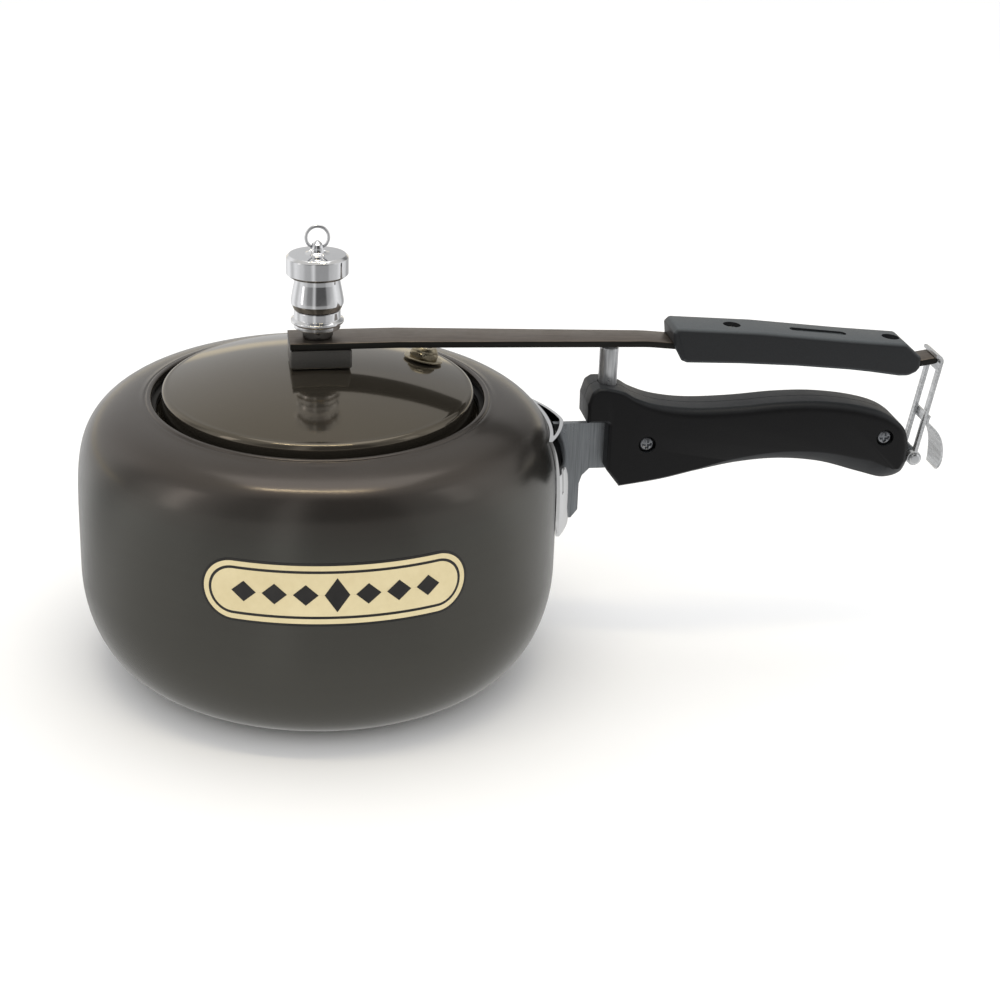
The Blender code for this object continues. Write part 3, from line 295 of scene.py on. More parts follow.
# %% Helper: a turned surface
def turned(profile, steps=160, oval=None):
    """A profile of (radius, height) carried round Z: x = r cos a, y = r sin a, z = height.
    oval multiplies y, as one number or one for each profile point."""
    profile = np.asarray(profile, float)
    angle = np.arange(steps) * 2 * math.pi / steps
    stretch = np.ones(len(profile)) if oval is None else np.broadcast_to(oval, len(profile))
    x = np.cos(angle)[:, None] * profile[:, 0]
    y = np.sin(angle)[:, None] * profile[:, 0] * stretch
    return points_of(x, y, profile[:, 1])


def stood(grid, place, axis=(0, 0, 1)):
    """A grid built round Z, turned to stand on place and point along axis."""
    matrix = np.array(Vector(axis).to_track_quat("Z", "Y").to_matrix())
    return grid @ matrix.T + np.asarray(place)


def dress(obj, body, material, slot, *nodes):
    """The piece rides on a body, takes its finish and stands for CAD nodes."""
    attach(obj, body)
    if material is not None:
        obj.data.materials.clear()
        obj.data.materials.append(material)
    if nodes:
        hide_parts(*nodes)
    print(obj.name, len(obj.data.polygons), "faces")
    return obj


# %% [markdown]
# ## Finishes
#
# Several finishes share the same small effects: smudges from hands, fine spinning or
# brushing lines, and the grain of a mould. Each effect is built once as a shader node group
# and gets its own values in each material.

# %% Helper: a group with named sockets
def new_group(name, inputs, outputs):
    """An empty node group; inputs are (name, type, default), outputs are names of numbers."""
    group = bpy.data.node_groups.new(name, "ShaderNodeTree")
    for label, kind, default in inputs:
        socket = group.interface.new_socket(label, in_out="INPUT", socket_type=kind)
        if default is not None:
            socket.default_value = default
    for label in outputs:
        group.interface.new_socket(label, in_out="OUTPUT", socket_type="NodeSocketFloat")
    start = group.nodes.new("NodeGroupInput").outputs
    end = group.nodes.new("NodeGroupOutput")
    print("effect:", name)
    return group, start, end.inputs


VECTOR = ("Vector", "NodeSocketVector", None)


def noise(tree, vector, scale, detail=3.0, roughness=0.5):
    """Soft cloudy values between 0 and 1; a larger scale makes them finer."""
    values = {"Vector": vector, "Scale": scale, "Detail": detail, "Roughness": roughness}
    return add_node(tree, "ShaderNodeTexNoise", values).outputs["Fac"]


# %% Effect: smudges, large soft patches broken up by small ones
smudges, start, end = new_group("smudges", [VECTOR, ("Scale", "NodeSocketFloat", 20.0)], ["Mask"])
wide = noise(smudges, start["Vector"], start["Scale"], 4.0, 0.6)
small = noise(smudges, start["Vector"], calculate(smudges, "MULTIPLY", start["Scale"], 9.0), 2.0)
mask = calculate(smudges, "MULTIPLY_ADD", small, 0.35, calculate(smudges, "MULTIPLY", wide, 0.8))
smudges.links.new(mask, end["Mask"])

# %% Effect: spun lines, rings round the Z axis as a lathe or a spinning tool leaves them
spun, start, end = new_group("spun_lines", [VECTOR, ("Spacing", "NodeSocketFloat", 900.0)], ["Lines"])
split = add_node(spun, "ShaderNodeSeparateXYZ", {0: start["Vector"]}).outputs
across = calculate(spun, "SQRT", calculate(spun, "ADD", calculate(spun, "MULTIPLY", split["X"], split["X"]),
                                           calculate(spun, "MULTIPLY", split["Y"], split["Y"])))
flat = add_node(spun, "ShaderNodeCombineXYZ", {"X": across, "Y": split["Z"]}).outputs[0]
spun.links.new(noise(spun, flat, start["Spacing"], 2.0, 0.7), end["Lines"])

# %% Effect: brushed streaks, noise pulled out along one direction by its stretch
brushed, start, end = new_group("brushed_streaks", [VECTOR, ("Stretch", "NodeSocketVector", (1, 1, 0.04)),
                                                    ("Scale", "NodeSocketFloat", 1500.0)], ["Streaks"])
pulled = add_node(brushed, "ShaderNodeVectorMath", {0: start["Vector"], 1: start["Stretch"]},
                  operation="MULTIPLY").outputs[0]
brushed.links.new(noise(brushed, pulled, start["Scale"], 3.0, 0.65), end["Streaks"])

# %% Effect: moulded grain, small rounded cells like those of a spark-eroded mould
grain, start, end = new_group("moulded_grain", [VECTOR, ("Scale", "NodeSocketFloat", 1800.0)], ["Grain"])
cells = add_node(grain, "ShaderNodeTexVoronoi", {"Vector": start["Vector"], "Scale": start["Scale"]})
fine = noise(grain, start["Vector"], calculate(grain, "MULTIPLY", start["Scale"], 2.3), 2.0)
grain.links.new(calculate(grain, "MULTIPLY_ADD", fine, 0.5, cells.outputs["Distance"]), end["Grain"])


# %% Helper: a material with its shader and its object coordinates
def new_material(name, colour, roughness, metallic, gloss=0.5):
    """Returns the material, its tree, its Principled shader and its Object coordinates."""
    material = bpy.data.materials.new(name)
    material.use_nodes = True
    tree = material.node_tree
    shader = tree.nodes["Principled BSDF"]
    shader.inputs["Base Color"].default_value = (*colour, 1)
    shader.inputs["Roughness"].default_value = roughness
    shader.inputs["Metallic"].default_value = metallic
    shader.inputs["Specular IOR Level"].default_value = gloss
    place = add_node(tree, "ShaderNodeTexCoord").outputs["Object"]
    print("finish:", name)
    return material, tree, shader, place


def effect(tree, group, place, **values):
    """A group placed in a material, fed with the object's coordinates and its own values."""
    node = tree.nodes.new("ShaderNodeGroup")
    node.node_tree = group
    tree.links.new(place, node.inputs["Vector"])
    for key, value in values.items():
        node.inputs[key].default_value = value
    return node.outputs[0]


def spread(tree, value, low, high, start=0.3, end=0.7):
    """A number between low and high as value goes from start to end."""
    values = {"Value": value, "From Min": start, "From Max": end, "To Min": low, "To Max": high}
    return add_node(tree, "ShaderNodeMapRange", values).outputs["Result"]


def blended(tree, factor, first, second):
    """Two colours or colour sockets, mixed by factor."""
    node = add_node(tree, "ShaderNodeMix", {0: factor}, data_type="RGBA")
    for number, colour in ((6, first), (7, second)):
        if isinstance(colour, bpy.types.NodeSocket):
            tree.links.new(colour, node.inputs[number])
        else:
            node.inputs[number].default_value = (*colour, 1)
    return node.outputs[2]


def bumped(tree, shader, height, depth, strength=1.0):
    """Relief of the given depth from a height between 0 and 1."""
    bump = add_node(tree, "ShaderNodeBump", {"Height": height, "Distance": depth, "Strength": strength})
    tree.links.new(bump.outputs["Normal"], shader.inputs["Normal"])


# %% [markdown]
# Hard anodising turns aluminium dark grey with a brown cast. It is satin on the pot: fine
# spinning lines run round it, the tone drifts a little, and hands leave duller patches. The
# lid has the same coating over a polished dome, so it is glossier and more bronze.

# %% Finish: anodised pot and lid
def anodised(name, low_tone, painted_light_tone, level, smooth, dull, line_depth):
    """Dark coating: low_tone below the height level, painted_light_tone above it. The change with height is
    painted light, the tone that the light from above gives the upper part, not a second coating.
    """
    material, tree, shader, place = new_material(name, low_tone, smooth, 0.86)
    height = add_node(tree, "ShaderNodeSeparateXYZ", {0: place}).outputs["Z"]
    drift = noise(tree, place, 14.0, 3.0)
    raised = calculate(tree, "MULTIPLY_ADD", drift, 0.020, height)
    share = spread(tree, raised, 0.0, 1.0, level, level + 0.022)
    # Painted light: above the level the coating takes painted_light_tone.
    tone = blended(tree, share, low_tone, painted_light_tone)
    lines = effect(tree, spun, place, Spacing=1100.0)
    darker = tuple(0.82 * c for c in painted_light_tone)
    streaked = blended(tree, spread(tree, lines, 0.0, 0.22, 0.35, 0.75), tone, darker)
    tree.links.new(streaked, shader.inputs["Base Color"])
    mask = effect(tree, smudges, place, Scale=26.0)
    tree.links.new(spread(tree, mask, smooth, dull, 0.4, 0.75), shader.inputs["Roughness"])
    bumped(tree, shader, lines, line_depth, 0.6)
    return material


# Above each level the tone is painted light: a browner shoulder on the pot and a lighter dome top on the lid.
# On the vent nut at the bar's top it is painted shade, partly the nut's own dark colour.
pot_finish = anodised("pot_finish", (0.098, 0.096, 0.086), (0.094, 0.083, 0.074),
                      0.106, 0.20, 0.27, 0.000016)
lid_finish = anodised("lid_finish", (0.120, 0.106, 0.082), (0.150, 0.131, 0.104),
                      0.128, 0.06, 0.11, 0.000012)
dark_fitting = anodised("dark_fitting", (0.16, 0.157, 0.150), (0.070, 0.064, 0.056),
                        0.150, 0.30, 0.40, 0.00002)

# %% [markdown]
# The lid bar is plated steel, brown grey on its brushed top; its cut edges get a nearly black copy of it,
# painted shade for the dark they reflect.

# %% Finish: the lid bar
def plated(name, colour, stretch, smooth, dull):
    """Brushed plating; stretch is small along the brushing."""
    material, tree, shader, place = new_material(name, colour, smooth, 0.85)
    streaks = effect(tree, brushed, place, Stretch=stretch, Scale=1300.0)
    lighter = tuple(min(1.25 * c, 1) for c in colour)
    darker = tuple(0.75 * c for c in colour)
    tone = blended(tree, spread(tree, streaks, 0.0, 1.0), darker, lighter)
    tree.links.new(tone, shader.inputs["Base Color"])
    mask = effect(tree, smudges, place, Scale=40.0)
    tree.links.new(spread(tree, mask, smooth, dull, 0.4, 0.75), shader.inputs["Roughness"])
    bumped(tree, shader, streaks, 0.00002, 0.7)
    return material


bar_top = plated("bar_top", (0.150, 0.126, 0.106), (0.03, 1, 1), 0.30, 0.42)
bar_side_painted_shade = plated("bar_side_painted_shade", (0.030, 0.029, 0.026), (0.03, 1, 1), 0.35, 0.50)
arm_steel = plated("arm_steel", (0.27, 0.285, 0.30), (1, 1, 0.03), 0.24, 0.38)
steel = plated("brushed_steel_strip", (0.58, 0.59, 0.60), (1, 1, 0.03), 0.22, 0.36)
latch_steel = plated("latch_steel", (0.66, 0.67, 0.68), (1, 0.05, 1), 0.20, 0.34)

# %% [markdown]
# Chrome is almost a mirror. What makes it believable is that its gloss isn't even: smudges
# and very fine wiping marks.

# %% Finish: chrome
def chromed(name, colour, smooth, dull):
    """Plated mirror with smudges and faint wiping marks."""
    material, tree, shader, place = new_material(name, colour, smooth, 1.0)
    mask = effect(tree, smudges, place, Scale=90.0)
    tree.links.new(spread(tree, mask, smooth, dull, 0.45, 0.8), shader.inputs["Roughness"])
    tone = blended(tree, spread(tree, mask, 0.0, 0.5, 0.45, 0.85), colour, tuple(0.88 * c for c in colour))
    tree.links.new(tone, shader.inputs["Base Color"])
    marks = effect(tree, brushed, place, Stretch=(1, 1, 0.1), Scale=900.0)
    bumped(tree, shader, marks, 0.000006, 0.5)
    return material


chrome = chromed("chrome_plate", (0.88, 0.885, 0.90), 0.05, 0.14)
bright_steel = chromed("bright_steel", (0.74, 0.75, 0.76), 0.14, 0.26)
screw_steel = chromed("screw_steel", (0.34, 0.35, 0.37), 0.22, 0.36)

# %% [markdown]
# The grips are moulded from a hard black plastic, and the mould leaves a fine grain. Faces that look up are
# painted lighter, a painted sheen that turns the upper faces of the lid grip slate grey, and the palm facet
# that looks down is painted lighter too, a painted reflection of the floor.

# %% Finish: moulded grips
def moulded(name, colour, painted_sheen_colour, smooth, dull, painted_sheen_share):
    """Hard plastic with mould grain; faces that look up take painted_sheen_colour by the share
    painted_sheen_share, a painted sheen, and faces that look down take a darker shade of it, a painted
    reflection of the floor."""
    material, tree, shader, place = new_material(name, colour, smooth, 0.0, 0.28)
    cells = effect(tree, grain, place, Scale=1500.0)
    normal = add_node(tree, "ShaderNodeTexCoord").outputs["Normal"]
    up = add_node(tree, "ShaderNodeSeparateXYZ", {0: normal}).outputs["Z"]
    mask = effect(tree, smudges, place, Scale=30.0)
    # Painted sheen: faces that look up are lighter, as the light from above would make them.
    facing = calculate(tree, "MULTIPLY", spread(tree, up, 0.0, painted_sheen_share, 0.35, 0.95),
                       spread(tree, mask, 0.8, 1.0, 0.4, 0.8))
    tone = blended(tree, facing, colour, painted_sheen_colour)
    # Painted reflection: faces that look down take a lighter tone, as the floor would light them.
    under = spread(tree, up, 0.75, 0.0, -0.50, -0.25)
    tone = blended(tree, under, tone, tuple(0.75 * c for c in painted_sheen_colour))
    tone = blended(tree, spread(tree, cells, 0.0, 0.25, 0.2, 0.9), tone, tuple(1.6 * c for c in colour))
    tree.links.new(tone, shader.inputs["Base Color"])
    tree.links.new(spread(tree, mask, smooth, dull, 0.4, 0.8), shader.inputs["Roughness"])
    bumped(tree, shader, cells, 0.00005, 0.5)
    return material


grip_plastic = moulded("grip_plastic", (0.0040, 0.0040, 0.0045), (0.032, 0.035, 0.039), 0.32, 0.46, 0.9)
lid_grip_plastic = moulded("lid_grip_plastic", (0.015, 0.016, 0.0175), (0.088, 0.099, 0.107), 0.38, 0.52, 1.0)

# %% Finish: rubber, brass, the soft plug and the printed colours
def plain_worn(name, colour, worn, smooth, dull, metallic, scale, depth):
    """One colour that turns to worn in patches, with fine relief."""
    material, tree, shader, place = new_material(name, colour, smooth, metallic)
    mask = effect(tree, smudges, place, Scale=scale)
    tree.links.new(blended(tree, spread(tree, mask, 0.0, 1.0, 0.4, 0.75), colour, worn),
                   shader.inputs["Base Color"])
    tree.links.new(spread(tree, mask, smooth, dull, 0.4, 0.75), shader.inputs["Roughness"])
    bumped(tree, shader, effect(tree, grain, place, Scale=scale * 20), depth, 0.4)
    return material


rubber = plain_worn("gasket_rubber", (0.012, 0.012, 0.012), (0.030, 0.029, 0.028),
                    0.65, 0.80, 0.0, 60.0, 0.00004)
brass = plain_worn("aged_brass", (0.58, 0.52, 0.38), (0.28, 0.24, 0.17), 0.22, 0.42, 1.0, 120.0, 0.00003)
alloy = plain_worn("plug_alloy", (0.36, 0.36, 0.33), (0.20, 0.20, 0.18), 0.35, 0.55, 1.0, 150.0, 0.00003)
print_cream = plain_worn("print_cream", (0.70, 0.60, 0.36), (0.64, 0.54, 0.31),
                         0.45, 0.55, 0.0, 40.0, 0.00001)
print_black = plain_worn("print_black", (0.010, 0.009, 0.008), (0.020, 0.018, 0.016),
                         0.35, 0.45, 0.0, 40.0, 0.00001)

# %% The floor's paper: white to the eye; in reflections it glows with a painted reflection of the studio
floor_paper, tree, shader, place = new_material("floor_paper", (0.90, 0.90, 0.90), 0.9, 0.0)
mask = effect(tree, smudges, place, Scale=3.0)
tree.links.new(blended(tree, spread(tree, mask, 0.0, 1.0), (0.91, 0.91, 0.91), (0.895, 0.895, 0.895)),
               shader.inputs["Base Color"])
grey, _, _ = studio_bands(tree, place)
distance = add_node(tree, "ShaderNodeVectorMath", {0: place}, operation="LENGTH").outputs["Value"]
# Painted reflection: glossy rays see the floor glow, grey near the cooker and the studio's bands further out.
reflected = blended(tree, spread(tree, distance, 0.0, 1.0, 0.12, 0.42), (0.62, 0.615, 0.60),
                    blended(tree, 0.25, grey, (1.0, 1.0, 1.0)))
painted_reflection_glow = add_node(tree, "ShaderNodeEmission", {"Color": reflected})
path = add_node(tree, "ShaderNodeLightPath").outputs
mixed = add_node(tree, "ShaderNodeMixShader",
                 {0: path["Is Glossy Ray"], 1: shader.outputs[0], 2: painted_reflection_glow.outputs[0]})
tree.links.new(mixed.outputs[0], tree.nodes["Material Output"].inputs["Surface"])
floor.data.materials.append(floor_paper)

# %% [markdown]
# ## The pot
#
# The pot is spun from one disc: a flat base, a bulging wall, a round shoulder and an oval
# mouth with a folded lip. The wall's profile is a quarter ellipse below the widest level and
# a superellipse above it. It is turned round Z with the outside and the inside in one closed
# profile, and stretched along Y towards the mouth.

# %% The pot's profile
POT_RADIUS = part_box("pot_body")[1].x
POT_HEIGHT = 127.0 * MM
WIDEST_Z = 48.0 * MM
BASE_RADIUS = 78.0 * MM
WALL = 3.0 * MM
SHOULDER_POWER = 6.0
MOUTH_RADIUS = 73.5 * MM
MOUTH_OVAL = 5.5 * MM
POT_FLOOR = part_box("pot_body")[0].z
INNER_FLOOR = POT_FLOOR + 4.0 * MM
RIM_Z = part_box("pot_body")[1].z
OVAL_RATIO = (MOUTH_RADIUS + MOUTH_OVAL) / MOUTH_RADIUS


def wall_radius(z, inset=0.0):
    """Radius of the wall at heights z: below the widest level r = base + rise * sqrt(1 - u^2),
    above it r = R * (1 - v^6)^(1/6), with u and v the share of the way to the end."""
    z = np.asarray(z, float)
    u = np.clip((WIDEST_Z - z) / (WIDEST_Z - POT_FLOOR), 0, 1)
    below = BASE_RADIUS - inset + (POT_RADIUS - BASE_RADIUS) * np.sqrt(1 - u ** 2)
    v = np.clip((z - WIDEST_Z) / (POT_HEIGHT - inset - WIDEST_Z), 0, 1) ** SHOULDER_POWER
    above = (POT_RADIUS - inset) * (1 - v) ** (1 / SHOULDER_POWER)
    return np.where(z < WIDEST_Z, below, above)


def belly(base_z, inset, steps):
    """Quarter ellipse from the base to the widest level, even in angle."""
    a = np.linspace(0, math.pi / 2, steps)
    radius = BASE_RADIUS - inset + (POT_RADIUS - BASE_RADIUS) * np.sin(a)
    return points_of(radius, WIDEST_Z - (WIDEST_Z - base_z) * np.cos(a))


def shoulder(inset, last_radius, steps):
    """Superellipse |r/R|^6 + |z/H|^6 = 1 from the widest level to last_radius, even in angle."""
    wide, tall = POT_RADIUS - inset, POT_HEIGHT - inset - WIDEST_Z
    share = (1 - (last_radius / wide) ** SHOULDER_POWER) ** (1 / SHOULDER_POWER)
    a = np.linspace(0, math.atan2(share, last_radius / wide), steps)
    reach = (np.cos(a) ** SHOULDER_POWER + np.sin(a) ** SHOULDER_POWER) ** (-1 / SHOULDER_POWER)
    return points_of(wide * reach * np.cos(a), WIDEST_Z + tall * reach * np.sin(a))


# %% Turn the pot
SEAT_RADIUS = MOUTH_RADIUS + 6.7 * MM
inner_shoulder = shoulder(WALL, SEAT_RADIUS, 40)[::-1]
SEAT_Z = inner_shoulder[0, 1]
lip = [(MOUTH_RADIUS + 3.6 * MM, RIM_Z - 0.15 * MM), (MOUTH_RADIUS + 2.7 * MM, RIM_Z - 0.45 * MM),
       (MOUTH_RADIUS + 2.1 * MM, RIM_Z + 0.55 * MM), (MOUTH_RADIUS, RIM_Z + 0.55 * MM),
       (MOUTH_RADIUS, SEAT_Z + 1.2 * MM), (MOUTH_RADIUS + 1.2 * MM, SEAT_Z)]
pot_profile = np.concatenate([
    [(0, POT_FLOOR), (BASE_RADIUS - 1.5 * MM, POT_FLOOR)], belly(POT_FLOOR, 0, 36),
    shoulder(0, MOUTH_RADIUS + 4.2 * MM, 60), rounded(lip, 0.9 * MM, 7),
    inner_shoulder, belly(INNER_FLOOR, WALL, 30)[::-1], [(0, INNER_FLOOR)]])
stretch_share = np.clip((pot_profile[:, 1] - WIDEST_Z) / (SEAT_Z - WIDEST_Z), 0, 1)
pot_oval = 1 + (OVAL_RATIO - 1) * stretch_share ** SHOULDER_POWER
pot = surface("pot_skin", turned(pot_profile, 256, pot_oval), wrap_rows=True, sharp=50)
dress(pot, "cooker", pot_finish, "dark_anodised", "pot_body")

# %% The steel disc under it, with shallow rings pressed into its face
disc_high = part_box("induction_base")[1]
disc_r, disc_t = disc_high.x, disc_high.z
ring_r = np.linspace(4 * MM, disc_r - 3 * MM, 150)
ring_z = 0.18 * MM * (1 + np.sin(ring_r / (1.4 * MM))) / 2
edge = rounded([(disc_r - 2.5 * MM, 0), (disc_r, 0), (disc_r, disc_t), (0, disc_t)], 0.4 * MM, 5)
disc_profile = np.concatenate([[(0, 0)], points_of(ring_r, ring_z), edge])
disc = surface("base_plate", turned(disc_profile, 192), wrap_rows=True, sharp=50)
dress(disc, "cooker", steel, "brushed_steel", "induction_base")

# %% [markdown]
# The pot carries a printed mark on its front. Here it is a plain long plaque: a cream field
# between black keylines, with a row of lozenges. It is a thin skin laid on the wall, built
# from rings that run in from the plaque's edge, so that every line is crisp.

# %% The printed plaque
PLAQUE_Z = 78.0 * MM
PLAQUE_LIFT = 0.12 * MM


def on_wall(points, lift):
    """(distance round the pot from its front, height) to a point lifted off the oval wall."""
    across, z = points[..., 0], points[..., 1]
    radius = wall_radius(z) + lift
    share = np.clip((z - WIDEST_Z) / (SEAT_Z - WIDEST_Z), 0, 1) ** SHOULDER_POWER
    angle = across / POT_RADIUS - math.pi / 2
    stretch = 1 + (OVAL_RATIO - 1) * share
    return points_of(radius * np.cos(angle), radius * np.sin(angle) * stretch, z)


def stadium(inset, half_length, half_height, steps):
    """A rounded bar shrunk by inset: two half circles joined by straight sides."""
    a = np.linspace(0, 2 * math.pi, steps, endpoint=False)
    radius = half_height - inset
    x = radius * np.cos(a) + np.sign(np.cos(a)) * (half_length - half_height)
    return points_of(x, radius * np.sin(a))


def refined_rings(rings):
    """Fill the straight sides of each ring with points 1 mm apart, so they bend with the wall."""
    first = np.concatenate([rings[0], rings[0][:1]])
    lengths = np.linalg.norm(np.diff(first, axis=0), axis=1)
    counts = np.maximum(1, np.ceil(lengths / (1.0 * MM)).astype(int))
    start = np.repeat(np.arange(len(counts)), counts)
    share = np.concatenate([np.arange(c) / c for c in counts])[:, None]
    following = (start + 1) % rings.shape[1]
    return rings[:, start] * (1 - share) + rings[:, following] * share


def printed_bar(name, insets, half_length, half_height):
    """Rings of a stadium from the first inset to the last, carried onto the wall."""
    rings = np.stack([stadium(i, half_length, half_height, 192) for i in insets])
    return surface(name, on_wall(refined_rings(rings) + [0, PLAQUE_Z], PLAQUE_LIFT), wrap_columns=True)


PLAQUE_LENGTH, PLAQUE_HEIGHT = 57.0 * MM, 14.0 * MM
bands = (("plaque_border", (0.0, 1.1), print_black), ("plaque_frame", (1.1, 3.3), print_cream),
         ("plaque_keyline", (3.3, 4.5), print_black), ("plaque_field", (4.5, 9.0, 13.99), print_cream))
for name, insets, material in bands:
    band = printed_bar(name, [i * MM for i in insets], PLAQUE_LENGTH, PLAQUE_HEIGHT)
    dress(band, "cooker", material, "dark_anodised")


def lozenge(half_width, half_height, inset):
    """A four-sided ring: |x| / w + |y| / h = 1, sampled evenly along each side."""
    t = np.arange(4 * 12) / 12
    x = np.abs((t + 2) % 4 - 2) - 1
    y = 1 - np.abs((t + 1) % 4 - 2)
    return points_of(x * half_width * (1 - inset), y * half_height * (1 - inset))


for number, offset in enumerate((-3, -2, -1, 0, 1, 2, 3), 1):
    tall = 7.6 if offset == 0 else 4.6
    rings = np.stack([lozenge(5.2 * MM, tall * MM, i) for i in (0.0, 0.5, 0.999)])
    rings = rings + np.array([offset * 12.8 * MM, PLAQUE_Z])
    mark = surface(f"plaque_lozenge_{number}", on_wall(rings, PLAQUE_LIFT + 0.08 * MM), wrap_columns=True)
    dress(mark, "cooker", print_black, "dark_anodised")

# %% [markdown]
# ## Lid and gasket
#
# The lid goes in through the oval mouth and seals from the inside. Its dome is a low
# parabola with a rolled edge, then a side wall down through the mouth, and a flange below
# the lip that presses the rubber gasket up.

# %% The lid
LID_SHEET = 2.2 * MM
LID_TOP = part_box("lid")[1].z
LID_EDGE = RIM_Z + 4.4 * MM
LID_WALL = MOUTH_RADIUS - 4.5 * MM
LID_ROUND = 2.6 * MM
FLANGE_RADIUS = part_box("lid")[1].x
FLANGE_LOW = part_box("lid")[0].z
FLANGE_TOP = FLANGE_LOW + LID_SHEET
VENT_HOLE = 4.3 * MM
dome_end = LID_WALL - LID_ROUND


def lid_height(radius):
    """Top of the lid: z = top - drop * (r / edge)^2."""
    return LID_TOP - (LID_TOP - LID_EDGE) * (radius / dome_end) ** 2


dome_r = np.linspace(VENT_HOLE, dome_end, 60)
dome = points_of(dome_r, lid_height(dome_r))
a = np.linspace(math.pi / 2, 0, 14)
roll = points_of(dome_end + LID_ROUND * np.cos(a), LID_EDGE - LID_ROUND + LID_ROUND * np.sin(a))
under_roll = np.array([dome_end, LID_EDGE - LID_ROUND]) \
    + (LID_ROUND - LID_SHEET) * points_of(np.cos(a[::-1]), np.sin(a[::-1]))
side_top = LID_EDGE - LID_ROUND - 1 * MM
side = rounded([(LID_WALL, side_top), (LID_WALL, FLANGE_TOP), (FLANGE_RADIUS, FLANGE_TOP),
                (FLANGE_RADIUS, FLANGE_LOW), (LID_WALL - LID_SHEET, FLANGE_LOW),
                (LID_WALL - LID_SHEET, side_top)],
               [0, 1.4 * MM, 0.5 * MM, 0.5 * MM, 1.0 * MM, 0], 6)
lid_profile = np.concatenate([dome, roll[1:], side, under_roll, dome[::-1] - [0, LID_SHEET]])
lid = hoop("lid_shell", turned(lid_profile, 224, OVAL_RATIO), 50)
dress(lid, "lid_assembly", lid_finish, "lid_anodised", "lid")

# %% The gasket, a rounded ring with a groove along its inner face
gasket_low, gasket_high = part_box("lid_gasket")
g_out, g_in = gasket_high.x, gasket_high.x - 6.2 * MM
g0, g1 = gasket_low.z, gasket_high.z
gasket_profile = rounded([(g_in, g0), (g_out, g0), (g_out, g1), (g_in, g1), (g_in, g1 - 1.0 * MM),
                          (g_in + 0.8 * MM, (g0 + g1) / 2), (g_in, g0 + 1.0 * MM)],
                         0.6 * MM, 5, closed=True)
gasket = hoop("gasket_ring", turned(gasket_profile, 192, OVAL_RATIO))
dress(gasket, "lid_assembly", rubber, "rubber", "lid_gasket")

# %% [markdown]
# ## The pressure weight
#
# Three turned pieces: a collar with a small flange, the bell with its neck and broad cap,
# and a wire ring through the boss on top. Their corners are rounded by a few tenths of a
# millimetre, because a mirror finish shows every edge as a bright line.

# %% Helper: take cutters away from a piece
def carved(obj, *cutters):
    """Subtract closed cutters with exact Booleans, keep the result and remove the cutters."""
    for cutter in cutters:
        modifier = obj.modifiers.new("carve", "BOOLEAN")
        modifier.operation = "DIFFERENCE"
        modifier.solver = "EXACT"
        modifier.object = cutter
    evaluated = obj.evaluated_get(bpy.context.evaluated_depsgraph_get())
    mesh = bpy.data.meshes.new_from_object(evaluated)
    obj.modifiers.clear()
    obj.data = mesh
    for cutter in cutters:
        bpy.data.objects.remove(cutter)
    mesh.set_sharp_from_angle(angle=math.radians(35))
    return obj


def rod(radius, start, end, steps=48):
    """A closed cutter: a plain round bar from start to end."""
    start, end = np.asarray(start, float), np.asarray(end, float)
    length = np.linalg.norm(end - start)
    profile = [(0, 0), (radius, 0), (radius, length), (0, length)]
    return surface("rod", stood(turned(profile, steps), start, end - start), wrap_rows=True)


# %% Collar and weight
collar_low, collar_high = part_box("weight_collar")
z = collar_low.z
c_top = collar_high.z
collar_r, flange_r, throat, spigot = 10.2 * MM, collar_high.x, 5.2 * MM, 7.8 * MM
collar_points = [(throat, z), (collar_r, z), (collar_r, z + 2.0 * MM), (flange_r, z + 2.8 * MM),
                 (flange_r, z + 3.8 * MM), (collar_r, z + 4.7 * MM), (collar_r, c_top), (spigot, c_top),
                 (spigot, z + 3.4 * MM), (throat, z + 3.4 * MM)]
collar_profile = rounded(collar_points, 0.45 * MM, 6, closed=True)
collar = hoop("weight_collar_ring", turned(collar_profile, 128))
dress(collar, "weight", chrome, "chrome", "weight_collar")

bell = c_top + GAP
neck, cap, cap_top = bell + 12.5 * MM, bell + 15.1 * MM, bell + 24.4 * MM
pivot = cap_top + 2.3 * MM
bell_r, neck_r, cap_r, boss_r = 11.6 * MM, 10.0 * MM, 13.6 * MM, 3.1 * MM
bell_line = np.array([(collar_r + 0.3 * MM, bell + 0.2 * MM), (bell_r, bell + 2.6 * MM),
                      (bell_r, bell + 4.0 * MM), (neck_r + 0.9 * MM, bell + 8.0 * MM), (neck_r, neck),
                      (neck_r, cap - 1.2 * MM)])
bell_line = rounded(bell_line, [0, 4, 4, 12, 6, 0] * np.array(MM), 8)
cap_points = [(neck_r, cap - 1.1 * MM), (cap_r - 1.4 * MM, cap - 0.4 * MM), (cap_r, cap + 0.8 * MM),
              (cap_r, cap_top - 1.3 * MM), (cap_r - 1.2 * MM, cap_top - 0.1 * MM),
              (5.4 * MM, cap_top + 0.2 * MM), (boss_r + 0.2 * MM, pivot - 1.2 * MM),
              (boss_r, pivot + 0.8 * MM), (boss_r * 0.8, pivot + 1.9 * MM), (0.6 * MM, pivot + 3.5 * MM),
              (0, pivot + 3.6 * MM)]
cap_line = rounded(cap_points, [0, 0.4, 0.4, 0.5, 0.5, 1.5, 1.2, 0.8, 1, 1, 0] * np.array(MM), 6)
spigot_low = z + 3.4 * MM + GAP
inner_line = [(0, bell + 8.2 * MM), (1.3 * MM, bell + 6.4 * MM), (3.4 * MM, bell + 5.4 * MM),
              (3.4 * MM, bell + 1.5 * MM), (throat, bell), (throat, spigot_low),
              (spigot - GAP, spigot_low), (spigot - GAP, bell)]
weight_profile = np.concatenate([inner_line, bell_line, cap_line])
weight = surface("weight_bell", turned(weight_profile, 144), wrap_rows=True, sharp=35)
